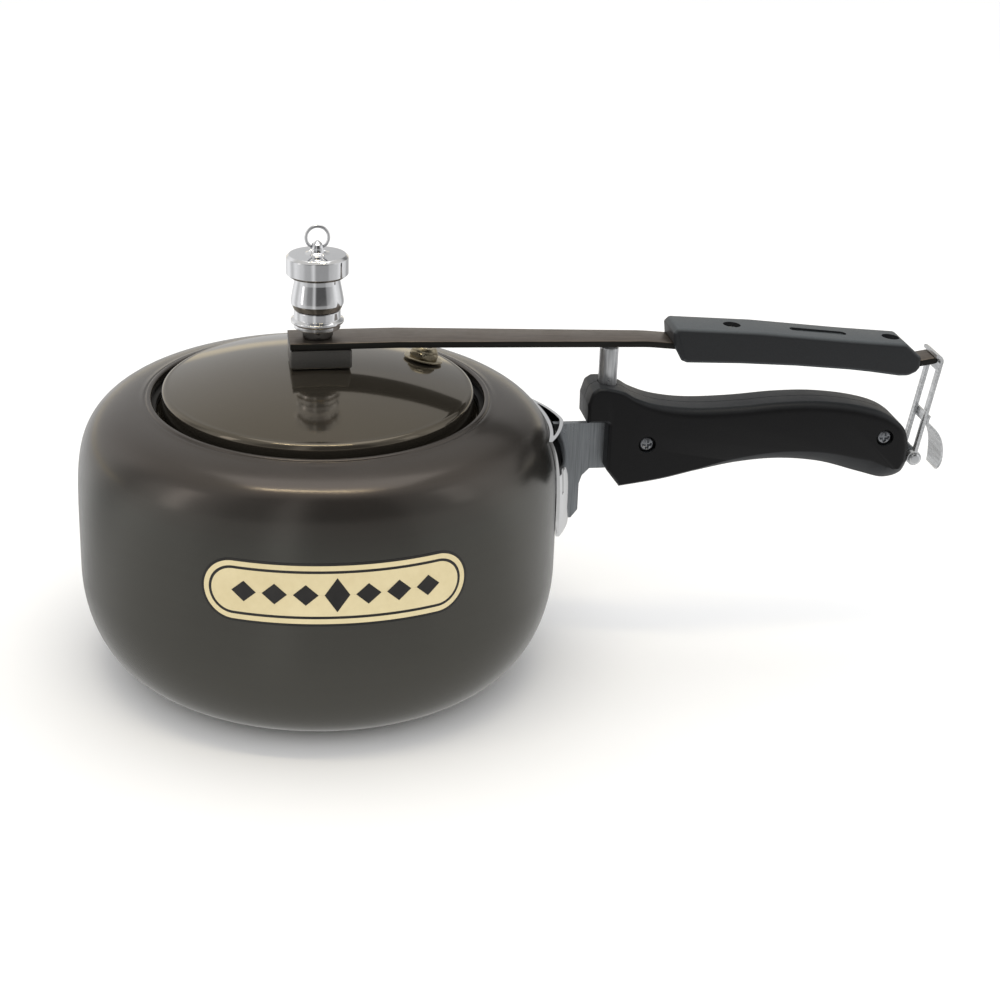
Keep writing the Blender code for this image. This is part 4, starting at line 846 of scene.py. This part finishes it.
carved(weight, rod(2.0 * MM, (-20 * MM, 0, pivot + 0.35 * MM), (20 * MM, 0, pivot + 0.35 * MM)))
dress(weight, "weight", chrome, "chrome", "vent_weight")

# %% The wire ring, a torus: a small circle carried round a larger one
ring_low, ring_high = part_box("weight_ring")
wire = ring_high.y
ring_radius = ring_high.x - wire
b = np.linspace(0, 2 * math.pi, 24, endpoint=False)
ring_profile = points_of(ring_radius + wire * np.cos(b), wire * np.sin(b))
ring_grid = stood(turned(ring_profile, 96), (0, 0, (ring_low.z + ring_high.z) / 2), (0, 1, 0))
ring = hoop("weight_wire_ring", ring_grid)
dress(ring, "ring", chrome, "chrome", "weight_ring")

# %% [markdown]
# ## The lid bar and what clamps it
#
# A flat steel bar runs from the lid's centre to its handle. It drops in two easy bends and
# ends in a narrow tongue for the latch. It is a rounded rectangle carried along the bar's
# middle line; width and thickness change along the way. Its top has the brushed plating; its
# cut edges are painted nearly black, a painted shade for the dark they reflect.

# %% The bar's line and section
BAR_T = 3.0 * MM
BAR_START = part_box("lid_bar")[0].x
BAR_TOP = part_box("lid_bar")[1].z
HANDLE_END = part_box("handle_shell_front")[1].x
LATCH_X = 272.25 * MM
TIP_X = LATCH_X + 4.75 * MM
BEND_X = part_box("lid_handle")[0].x - 10.1 * MM
bar_level = BAR_TOP - BAR_T / 2
FLAT_END, DROP_END = 35 * MM, LATCH_X - 2.25 * MM
WIDE_HALF, NARROW_HALF, TONGUE_HALF = 10 * MM, 7.75 * MM, 6 * MM
stations = np.array([(BAR_START, 0.0), (FLAT_END, 0.0), (BEND_X, 3.3 * MM), (DROP_END, 16.3 * MM),
                     (TIP_X, 15.1 * MM)])


def bar_middle(x):
    """Height of the bar's middle line: straight between its stations."""
    return bar_level - np.interp(x, stations[:, 0], stations[:, 1])


def rounded_section(half_width, half_height, radius, steps=5):
    """Rings of (across, up) for each station: a rectangle whose corners are quarter circles."""
    a = np.concatenate([np.linspace(q, q + math.pi / 2, steps) for q in np.arange(4) * math.pi / 2])
    quarter = np.repeat(np.arange(4) * math.pi / 2 + math.pi / 4, steps)
    signs = np.sign(points_of(np.cos(quarter), np.sin(quarter)))
    sizes = (np.asarray(size, float)[..., None] for size in (half_width, half_height, radius))
    half_width, half_height, radius = sizes
    across = signs[:, 0] * (half_width - radius) + radius * np.cos(a)
    up = signs[:, 1] * (half_height - radius) + radius * np.sin(a)
    return across, up


def swept(path, half_width, half_height, radius):
    """A rounded rectangle carried along a path of (x, z): across is Y, up is the path's normal."""
    along = np.gradient(path, axis=0)
    along /= np.linalg.norm(along, axis=1, keepdims=True)
    across, up = rounded_section(half_width, half_height, radius)
    x = path[:, :1] - along[:, 1:] * up
    z = path[:, 1:] + along[:, :1] * up
    return points_of(x, across, z)


bar_line = points_of(stations[:, 0], bar_level - stations[:, 1])
bar_line = refined(rounded(bar_line, [0, 60 * MM, 90 * MM, 12 * MM, 0], 9), 2 * MM)
shoulder_x = HANDLE_END - 2 * MM
x = bar_line[:, 0]
wide = np.interp(x, [BAR_START, FLAT_END, BEND_X, shoulder_x - 0.4 * MM, shoulder_x],
                 [WIDE_HALF, WIDE_HALF, NARROW_HALF, NARROW_HALF, TONGUE_HALF])
line_end = np.array([[TIP_X + BAR_T / 2 * s, bar_line[-1, 1]] for s in (0.4, 0.7, 0.9, 1.0)])
bar_line = np.concatenate([bar_line, line_end])
wide = np.concatenate([wide, [TONGUE_HALF, TONGUE_HALF, 5.7 * MM, 5.4 * MM]])
tip_thick = BAR_T / 2 * np.sqrt(1 - np.array([0.4, 0.7, 0.9, 0.98]) ** 2)
thick = np.concatenate([np.full(len(x), BAR_T / 2), tip_thick])
bar = plugged("bar_strip", swept(bar_line, wide, thick, np.minimum(0.45 * MM, 0.9 * thick)), 50)
dress(bar, "lid_assembly", bar_top, "bar_finish", "lid_bar")
# Faces that do not look up take the near-black copy: painted shade, not a finish of their own.
bar.data.materials.append(bar_side_painted_shade)
side_on = np.zeros(len(bar.data.polygons) * 3)
bar.data.polygons.foreach_get("normal", side_on)
bar.data.polygons.foreach_set("material_index", (side_on.reshape(-1, 3)[:, 2] < 0.45).astype(np.int32))


# %% Foot block and nuts
def bar_block(name, low, high, radius, steps=6):
    """A block with every edge rounded: a rounded rectangle that shrinks at both ends."""
    low, high = np.asarray(low, float), np.asarray(high, float)
    a = np.linspace(0, math.pi / 2, steps)
    inset = np.concatenate([radius * (1 - np.sin(a)), radius * (1 - np.cos(a))])
    level = np.concatenate([low[2] + radius * (1 - np.cos(a)), high[2] - radius * (1 - np.sin(a))])
    half = (high - low) / 2
    middle = (high + low) / 2
    across, up = rounded_section(half[0] - inset, half[1] - inset, np.full(len(inset), radius))
    return plugged(name, points_of(middle[0] + across, middle[1] + up, level[:, None]))


foot = bar_block("foot_block", *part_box("bar_foot"), 1.1 * MM)
dress(foot, "lid_assembly", dark_fitting, "bar_finish", "bar_foot")


def hexagon(across, height, hole, steps=96):
    """A nut on z = 0: r = (across / 2) / cos(angle to the flat), cut by a cone at both faces."""
    angle = np.arange(steps) * 2 * math.pi / steps
    side = (angle + math.pi / 6) % (math.pi / 3) - math.pi / 6
    reach = across / 2 / np.cos(side)
    level = np.array([0, 0, 0.1, 0.2, 0.35, 0.65, 0.8, 0.9, 1, 1]) * height
    cone = across / 2 * np.array([0, 0.98, 1.02, 1.07, 1.2, 1.2, 1.07, 1.02, 0.98, 0])
    radius = np.minimum(reach[:, None], cone)
    radius[:, [0, -1]] = hole
    x, y = np.cos(angle)[:, None] * radius, np.sin(angle)[:, None] * radius
    return points_of(x, y, level)


nut_low, nut_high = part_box("vent_nut")
nut_grid = hexagon(2 * min(nut_high.x, nut_high.y), nut_high.z - nut_low.z, VENT_HOLE)
vent_nut = hoop("vent_clamp_nut", stood(nut_grid, (0, 0, nut_low.z)), 20)
dress(vent_nut, "lid_assembly", dark_fitting, "bar_finish", "vent_nut")

# %% [markdown]
# The safety valve stands on the lid's slope: a brass body with a hexagon, a soft plug in it
# that melts when the cooker runs dry, and a nut inside the lid.

# %% Safety valve
VALVE_X, VALVE_Y = 49 * MM, 17 * MM
BORE, STEM_R, FLANGE_R, BODY_R = 2.7 * MM, 4.5 * MM, 8.8 * MM, 5.7 * MM
NUT_HIGH, SEAT = 3.5 * MM, 0.5 * MM
valve_r = math.hypot(VALVE_X, VALVE_Y / OVAL_RATIO)
slope = -2 * (LID_TOP - LID_EDGE) / dome_end ** 2
normal = np.array([-slope * VALVE_X, -slope * VALVE_Y / OVAL_RATIO ** 2, 1.0])
normal /= np.linalg.norm(normal)
spot = np.array([VALVE_X, VALVE_Y, lid_height(valve_r)])
head_grid = hexagon(12.4 * MM, 3.0 * MM, BORE)
valve_head = hoop("valve_body", stood(head_grid, spot + normal * (SEAT + 0.8 * MM), normal), 20)
dress(valve_head, "lid_assembly", brass, "brass", "safety_valve")
stem_low = SEAT - (LID_SHEET + 6.0 * MM)
valve_line = rounded([(BORE, stem_low), (STEM_R, stem_low), (STEM_R, SEAT), (FLANGE_R, SEAT),
                      (FLANGE_R, SEAT + 0.9 * MM), (BODY_R, SEAT + 1.0 * MM), (BODY_R, SEAT + 4.6 * MM),
                      (4.8 * MM, SEAT + 6 * MM), (BORE, SEAT + 6 * MM)], 0.35 * MM, 5, closed=True)
valve_stem = hoop("valve_stem", stood(turned(valve_line, 96), spot, normal))
dress(valve_stem, "lid_assembly", brass, "brass")
plug_line = [(0, stem_low + 1 * MM), (2.4 * MM, stem_low + 1 * MM), (2.4 * MM, SEAT + 4.8 * MM),
             (2.1 * MM, SEAT + 5.4 * MM), (1.0 * MM, SEAT + 5.6 * MM), (0, SEAT + 5.5 * MM)]
plug = surface("valve_plug", stood(turned(rounded(plug_line, 0.3 * MM), 64), spot, normal), wrap_rows=True)
dress(plug, "lid_assembly", alloy, "fuse_alloy", "fusible_plug")
nut_place = spot - normal * (LID_SHEET + SEAT + NUT_HIGH)
valve_nut = hoop("valve_clamp_nut", stood(hexagon(14 * MM, NUT_HIGH, STEM_R + GAP), nut_place, normal), 20)
dress(valve_nut, "lid_assembly", brass, "brass", "valve_nut")

# %% [markdown]
# ## The body handle
#
# Two moulded shells close round the steel arm. Seen from the side a shell is one smooth
# outline; its front edge is rolled over, softly along the top and with a flat facet that
# widens along the underside. So each shell is a stack of outlines: every next one is pulled
# in along the outline's normal by an amount that depends on where a point lies.

# %% The handle's outline
HANDLE_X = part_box("handle_screw_1")[0].x - 14.4 * MM
HANDLE_LENGTH = HANDLE_END - HANDLE_X
ARM_Z = 97.194 * MM
HANDLE_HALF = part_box("handle_shell_back")[1].y
POST_X = HANDLE_X + 0.3 * MM
BOSS_HALF = 10 * MM


def smooth_line(points, steps):
    """Catmull-Rom curve: each stretch is a cubic whose slope at a point is half the way
    from the point before it to the one after it."""
    p = np.asarray(points, float)
    p = np.concatenate([[2 * p[0] - p[1]], p, [2 * p[-1] - p[-2]]])
    t = (np.arange(steps) / steps)[None, :, None]
    p0, p1, p2, p3 = (p[k:len(p) - 3 + k, None, :] for k in range(4))
    curve = 0.5 * (2 * p1 + (p2 - p0) * t + (2 * p0 - 5 * p1 + 4 * p2 - p3) * t ** 2
                   + (3 * p1 - p0 - 3 * p2 + p3) * t ** 3)
    return np.concatenate([curve.reshape(-1, p.shape[1]), p[-2:-1]])


def handle_outline():
    """Boss on the left, waist, palm swell, drooped end, and back along the underside."""
    top = np.array([(0.045, 28.2), (0.0885, 24.8), (0.16, 21.4), (0.276, 19.3), (0.42, 19.5), (0.564, 20.9),
                    (0.693, 20.8), (0.823, 18.3), (0.9165, 14.0), (0.978, 7.2), (1.0, -1.2)])
    low = np.array([(1.0, -9.0), (0.981, -14.9), (0.931, -17.6), (0.8445, -14.4), (0.708, -8.7),
                    (0.571, -6.3), (0.434, -7.1), (0.3045, -10.1), (0.182, -14.0), (0.045, -16.9)])
    place = np.array([HANDLE_X, ARM_Z])
    scale = np.array([HANDLE_LENGTH, MM])
    left = POST_X - BOSS_HALF
    boss = rounded([(left, ARM_Z + 14 * MM), (left - 0.2 * MM, ARM_Z + 22.8 * MM),
                    (left + 1.6 * MM, ARM_Z + 28.6 * MM), (left + 4.4 * MM, ARM_Z + 30.4 * MM),
                    (left + 8 * MM, ARM_Z + 30.4 * MM)], 2.5 * MM, 6)
    top_line = smooth_line(np.concatenate([boss[-1:], place + top * scale]), 8)
    low_line = smooth_line(place + low * scale, 8)
    corner = rounded([low_line[-1], (HANDLE_X, ARM_Z - 8.7 * MM), (HANDLE_X, ARM_Z + 14 * MM), boss[0]],
                     1.2 * MM, 5)
    return refined(np.concatenate([boss, top_line[1:], low_line, corner[1:-1]]), 1.5 * MM)


def inward(outline):
    """Unit normals that point into a closed outline, lengthened at corners so sides stay even."""
    ahead = np.roll(outline, -1, axis=0) - outline
    ahead /= np.linalg.norm(ahead, axis=1, keepdims=True)
    behind = np.roll(ahead, 1, axis=0)
    mean = ahead + behind
    mean /= np.linalg.norm(mean, axis=1, keepdims=True)
    area = np.sum(outline[:, 0] * np.roll(outline[:, 1], -1) - np.roll(outline[:, 0], -1) * outline[:, 1])
    normal = points_of(-mean[:, 1], mean[:, 0]) * np.sign(area)
    return normal / np.maximum(np.sum(mean * ahead, axis=1, keepdims=True), 0.5)


def unfolded(rows, outline, rounds=8):
    """Where an inset row runs backwards round a tight corner, both ends of that edge meet."""
    ahead = np.roll(outline, -1, axis=0) - outline
    for _ in range(rounds):
        edge = np.roll(rows, -1, axis=1) - rows
        back = (np.sum(edge * ahead, axis=-1) < 0)[..., None]
        middle = rows + edge / 2
        rows = np.where(back, middle, rows)
        rows = np.where(np.roll(back, 1, axis=1), np.roll(middle, 1, axis=1), rows)
    return rows


# %% The two shells
def handle_shell(name, side):
    """Outlines from the parting plane to the side face: inset and depth follow an arc on
    the upper edge and a straight facet on the lower one."""
    outline = handle_outline()
    normal = inward(outline)
    x = outline[:, 0]
    upper = np.clip(0.5 - 1.2 * normal[:, 1], 0, 1)
    upper = np.convolve(np.concatenate([upper[-4:], upper, upper[:4]]), np.full(9, 1 / 9), "valid")
    facet = np.interp(x, [HANDLE_X, 172 * MM, 221 * MM, 250 * MM, 262 * MM, HANDLE_END],
                      [1.2 * MM, 1.4 * MM, 5.6 * MM, 8.4 * MM, 6.5 * MM, 2.5 * MM])
    crown = np.interp(x, [POST_X - BOSS_HALF, POST_X + 4 * MM, 160 * MM, 250 * MM, HANDLE_END],
                      [1.6 * MM, 1.8 * MM, 4.6 * MM, 4.8 * MM, 3.0 * MM])
    reach = facet * (1 - upper) + crown * upper
    depth = np.minimum(0.62 * reach + 1.0 * MM, 5.2 * MM)
    t = np.linspace(0, 1, 10)[:, None]
    arc_in, arc_out = 1 - np.cos(t * math.pi / 2), np.sin(t * math.pi / 2)
    bend = 0.25 + 0.75 * upper
    inset = reach * (bend * arc_in + (1 - bend) * t)
    out = HANDLE_HALF - depth + depth * (bend * arc_out + (1 - bend) * t)
    inset = np.concatenate([np.zeros((1, len(x))), inset])
    out = np.concatenate([np.full((1, len(x)), GAP / 2), out])
    points = unfolded(outline[None] + normal[None] * inset[..., None], outline)
    grid = points_of(points[..., 0], side * out, points[..., 1])
    return plugged(name, grid, 32)


def middle_of(node):
    """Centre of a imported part's box."""
    return sum(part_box(node), Vector()) / 2


SCREW_X = [middle_of(f"handle_screw_{n}").x for n in (1, 2)]
SCREW_Z = middle_of("handle_screw_1").z
POST_STEP, POCKET_R = ARM_Z + 20.8 * MM, 4.45 * MM
SCREW_SINK, NUT_SINK = (3.9 * MM, 2.8 * MM), (4.7 * MM, 3.4 * MM)
for name, side, (width, depth) in (("front", -1, SCREW_SINK), ("back", 1, NUT_SINK)):
    shell = handle_shell(f"grip_{name}", side)
    sinks = [rod(width, (x, side * (HANDLE_HALF - depth), SCREW_Z), (x, side * 2 * HANDLE_HALF, SCREW_Z))
             for x in SCREW_X]
    pocket = rod(POCKET_R, (POST_X, 0, POST_STEP - GAP), (POST_X, 0, POST_STEP + 30 * MM))
    carved(shell, pocket, *sinks)
    dress(shell, "cooker", grip_plastic, "black_plastic", f"handle_shell_{name}")

# %% [markdown]
# ## Screws
#
# The screws are small pan heads with a cross recess. A head is a disc of points whose height
# is a dome, lowered where the point lies inside a cross with soft edges.

# %% Pan head screws
def screw_head(radius, height, length):
    """z = height * (1 - 0.45 (r/R)^4) minus a cross-shaped dip; then down the rim and shank."""
    r = np.concatenate([np.linspace(0, 0.96, 26), [1.0]]) * radius
    a = np.arange(96) * 2 * math.pi / 96
    x, y = np.cos(a)[:, None] * r, np.sin(a)[:, None] * r
    near = np.minimum(np.abs(x), np.abs(y)) / (0.16 * radius)
    far = np.maximum(np.abs(x), np.abs(y)) / (0.58 * radius)
    cross = np.clip(1.6 - near, 0, 1) * np.clip((1.15 - far) * 5, 0, 1)
    z = height * (1 - 0.45 * (r / radius) ** 4) - 0.62 * height * cross
    rim = [(radius, 0), (SHANK_R, 0), (SHANK_R, -length), (0, -length)]
    return np.concatenate([points_of(x, y, z), turned(rim, 96)], axis=1)


HEAD_R, HEAD_H, SHANK_R = 3.3 * MM, 2.0 * MM, 2.0 * MM
SCREW_NUT, SCREW_BORE = 7 * MM, SHANK_R + GAP


def screw(name, body, node, axis):
    """A screw whose head faces along axis, as long as its node's box."""
    low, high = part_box(node)
    axis = Vector(axis)
    reach = abs((high - low) @ axis)
    base = (low + high) / 2 + axis * (reach / 2 - HEAD_H)
    grid = stood(screw_head(HEAD_R, HEAD_H, reach - HEAD_H), base, axis)
    dress(surface(name, grid, wrap_rows=True, sharp=45), body, screw_steel, "brushed_steel", node)


def screw_nut(name, body, node, axis):
    """A nut as high along axis as its node's box."""
    low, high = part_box(node)
    axis = Vector(axis)
    height = (high - low) @ axis
    grid = stood(hexagon(SCREW_NUT, height, SCREW_BORE), (low + high) / 2 - axis * height / 2, axis)
    dress(hoop(name, grid, 20), body, bright_steel, "brushed_steel", node)


for number in (1, 2):
    screw(f"grip_screw_{number}", "cooker", f"handle_screw_{number}", (0, -1, 0))
    screw(f"lid_grip_screw_{number}", "lid_assembly", f"lid_handle_screw_{number}", (0, 0, 1))
    screw_nut(f"grip_nut_{number}", "cooker", f"handle_nut_{number}", (0, 1, 0))
    screw_nut(f"lid_grip_nut_{number}", "lid_assembly", f"lid_handle_nut_{number}", (0, 0, 1))

# %% [markdown]
# ## The lid handle
#
# A moulded grip that sits over the bar like a channel. Its outline is drawn from the side
# and carried across, with all its long edges rolled. Two round recesses hold the screws and
# a narrow slot lies between them.

# %% The lid grip
GRIP_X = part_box("lid_handle")[0].x
GRIP_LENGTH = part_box("lid_handle")[1].x - GRIP_X
GRIP_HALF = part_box("lid_handle")[1].y
grip_points = np.array([(0.006, 0.6), (0.0, 6.4), (0.018, 8.8), (0.3445, 10.0), (0.7067, 9.6), (0.936, 9.8),
                        (1.0, 4.1), (1.0, -0.7), (0.986, -3.0), (0.955, -5.0), (0.919, -5.4), (0.8, -4.6),
                        (0.7155, -4.3), (0.5, -4.4), (0.274, -5.3), (0.062, -6.8), (0.04, -6.0)])
grip_x = GRIP_X + grip_points[:, 0] * GRIP_LENGTH
grip_z = bar_middle(np.minimum(grip_x, DROP_END)) + grip_points[:, 1] * MM
corner_radii = np.array([0.5, 1.2, 2, 60, 60, 3, 2, 2, 3, 5, 6, 60, 60, 60, 60, 2.5, 1.5]) * MM
grip_line = rounded(points_of(grip_x, grip_z), corner_radii, 7, closed=True)
grip_line = refined(np.concatenate([grip_line, grip_line[:1]]), 1.5 * MM)[:-1]
grip_normal = inward(grip_line)
GRIP_ROUND = 2.0 * MM
t = np.linspace(0, math.pi / 2, 8)
roll_in = GRIP_ROUND * (1 - np.sin(t))
roll_out = GRIP_HALF - GRIP_ROUND * (1 - np.cos(t))
inset = np.concatenate([roll_in, roll_in[::-1]])
across = np.concatenate([-roll_out, roll_out[::-1]])
rows = unfolded(grip_line[None] + grip_normal[None] * inset[:, None, None], grip_line)
grip_grid = points_of(rows[..., 0], across[:, None], rows[..., 1])
lid_grip = plugged("lid_grip", grip_grid, 32)


def channel_cutter():
    """The room for the bar: a slab from just above the bar down past the grip's underside."""
    x = np.array([GRIP_X - 10 * MM, DROP_END, LATCH_X + 8 * MM])
    roof = bar_middle(np.minimum(x, DROP_END)) + BAR_T / 2 + GAP
    sides = np.array([[-1], [1]]) * (NARROW_HALF + GAP)
    floor_z = np.full(3, roof.min() - 30 * MM)
    ring = points_of(np.concatenate([x, x[::-1]]), np.concatenate([roof, floor_z]))
    return plugged("channel", points_of(ring[:, 0], sides, ring[:, 1]))


def slot_cutter(x_low, x_high, half, floor_low, floor_high):
    """A stadium-shaped cutter whose floor follows the grip's top."""
    ring = stadium(0, (x_high - x_low) / 2, half, 64) + [(x_low + x_high) / 2, 0]
    floor_z = np.interp(ring[:, 0], [x_low, x_high], [floor_low, floor_high])
    grid = np.stack([points_of(ring[:, 0], ring[:, 1], floor_z),
                     points_of(ring[:, 0], ring[:, 1], floor_z + 20 * MM)])
    return plugged("slot", grid)


LID_SCREW_X = [middle_of(f"lid_handle_screw_{n}").x for n in (1, 2)]
SINK_FLOOR, SLOT_FLOOR = 5.9 * MM, 8.7 * MM
SLOT_X, SLOT_HALF = (211 * MM, 237 * MM), 2.4 * MM
sinks = [rod(SCREW_SINK[0], (x, 0, bar_middle(x) + SINK_FLOOR), (x, 0, BAR_TOP + 12 * MM))
         for x in LID_SCREW_X]
slot_floor = [bar_middle(x) + SLOT_FLOOR for x in SLOT_X]
carved(lid_grip, channel_cutter(), slot_cutter(*SLOT_X, SLOT_HALF, *slot_floor), *sinks)
dress(lid_grip, "lid_assembly", lid_grip_plastic, "slate_plastic", "lid_handle")

# %% [markdown]
# ## Post and bracket
#
# A round steel post stands in the handle's boss and its domed top carries the bar. The
# bracket on the pot is a folded V: a web that follows the wall and two wings that meet in a
# ridge round the arm. It is a loop of points round the wall at each height, out along the
# pot and back over the ridge, with a second loop for the hollow inside.

# %% The post
post_low, post_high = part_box("support_post")
POST_R = post_high.x - POST_X
top = post_high.z
a = np.linspace(0, math.pi / 2, 12)
crown_line = points_of(POST_R * np.cos(a), top - 0.6 * POST_R * (1 - np.sin(a)))
STEM_HALF = 2.6 * MM
post_line = np.concatenate([[(0, post_low.z), (STEM_HALF, post_low.z), (STEM_HALF, POST_STEP),
                             (POST_R - 0.3 * MM, POST_STEP), (POST_R, POST_STEP + 0.3 * MM)], crown_line])
post = surface("lid_post", stood(turned(post_line, 72), (POST_X, 0, 0)), wrap_rows=True, sharp=50)
dress(post, "cooker", steel, "brushed_steel", "support_post")

# %% The bracket
BRACKET_SHEET, BRACKET_DEPTH, BRACKET_HALF = 1.5 * MM, 6.0 * MM, 29.0 * MM
bracket_low, bracket_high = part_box("handle_bracket")[0].z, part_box("handle_bracket")[1].z


def bracket_loops(levels, low, ridge_height, reach_share, steps=48):
    """Loops round the wall: r = wall + low one way, wall + ridge * (1 - |a/reach|^1.25) back."""
    rise = np.clip((levels - bracket_low) / (12 * MM), 0, 1)
    width = BRACKET_HALF - 8 * MM * (1 - np.sqrt(1 - (1 - rise) ** 2))
    reach = (width / POT_RADIUS)[:, None]
    u = np.linspace(-1, 1, steps + 1)
    u = np.sign(u) * np.abs(u) ** 1.3
    wall = wall_radius(levels)[:, None] + GAP
    angle = reach * reach_share * np.concatenate([u, -u])
    ridge = BRACKET_DEPTH * (1 - np.abs(angle / reach) ** 1.25) + ridge_height
    ridge = np.maximum(ridge, low + 0.25 * MM)
    radius = np.where(np.arange(2 * steps + 2) <= steps, wall + low, wall + ridge)
    return points_of(radius * np.cos(angle), radius * np.sin(angle), levels[:, None])


share = np.concatenate([np.linspace(0, 0.25, 16)[:-1], np.linspace(0.25, 1, 50)])
levels = bracket_low + (bracket_high - bracket_low) * share
outside = bracket_loops(levels, 0, BRACKET_SHEET, 1.0)
inside = bracket_loops(levels, BRACKET_SHEET, 0, 0.72)
bracket = hoop("bracket_fold", np.concatenate([outside, inside[::-1]]), 30)
SLIT_Y, SLIT_HALF, SLIT_LOW, SLIT_HIGH = 25.2 * MM, 1.1 * MM, 84 * MM, 96 * MM
SLIT_TURN = 25 / 107.5  # radians: 25 mm round the wall at its widest
slit_x = wall_radius((SLIT_LOW + SLIT_HIGH) / 2) * math.cos(SLIT_TURN)
slits = [bar_block(f"slit_{side}", (slit_x - 2 * MM, side * SLIT_Y - SLIT_HALF, SLIT_LOW),
                   (slit_x + 9 * MM, side * SLIT_Y + SLIT_HALF, SLIT_HIGH), 0.5 * MM) for side in (-1, 1)]
carved(bracket, *slits)
dress(bracket, "cooker", chrome, "chrome", "handle_bracket")

# %% [markdown]
# ## Cut and bent strips
#
# The arm, the latch loop, its thumb tab and the small pins are flat work whose shape in the
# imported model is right. Their cut edges are too sharp, though: punched steel is tumbled
# until its edges are a little round. Each gets a merged copy of its own mesh, with flat
# regions joined, and a small Bevel on the edges that turn more than 30 degrees.

# %% Helper: a copy with broken edges
def tumbled(node, name, radius, material, slot, steps=2):
    """Copy of a part with its sharp edges rounded by radius."""
    mesh = frame["nodes"][node].data.copy()
    bm = bmesh.new()
    bm.from_mesh(mesh)
    bmesh.ops.remove_doubles(bm, verts=bm.verts, dist=1e-6)
    bmesh.ops.dissolve_limit(bm, angle_limit=math.radians(0.5), verts=bm.verts, edges=bm.edges)
    bm.to_mesh(mesh)
    bm.free()
    mesh.materials.clear()
    piece = bpy.data.objects.new(name, mesh)
    bpy.context.scene.collection.objects.link(piece)
    bevel = piece.modifiers.new("edges", "BEVEL")
    bevel.width = radius
    bevel.segments = steps
    bevel.limit_method = "ANGLE"
    bevel.angle_limit = math.radians(30)
    mesh.shade_smooth()
    mesh.set_sharp_from_angle(angle=math.radians(45))
    bodies = frame["record"]["behaviour"]["bodies"].items()
    return dress(piece, next(body for body, nodes in bodies if node in nodes), material, slot, node)


tumbled("handle_arm", "arm_strip", 0.30 * MM, arm_steel, "brushed_steel")
tumbled("lock_loop", "latch_loop", 0.30 * MM, latch_steel, "brushed_steel")
tumbled("thumb_tab", "latch_tab", 0.25 * MM, latch_steel, "brushed_steel")
tumbled("latch_pin", "latch_hinge_pin", 0.10 * MM, bright_steel, "brushed_steel")
for number in (1, 2, 3, 4):
    tumbled(f"bracket_rivet_{number}", f"wall_rivet_{number}", 0.10 * MM, bright_steel, "brushed_steel")

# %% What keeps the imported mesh
for slot in frame["nodes"]["vent_tube"].material_slots:
    slot.material = bright_steel
print("still shown as packed:", sorted(o.name for o in frame["nodes"].values() if not o.hide_render))
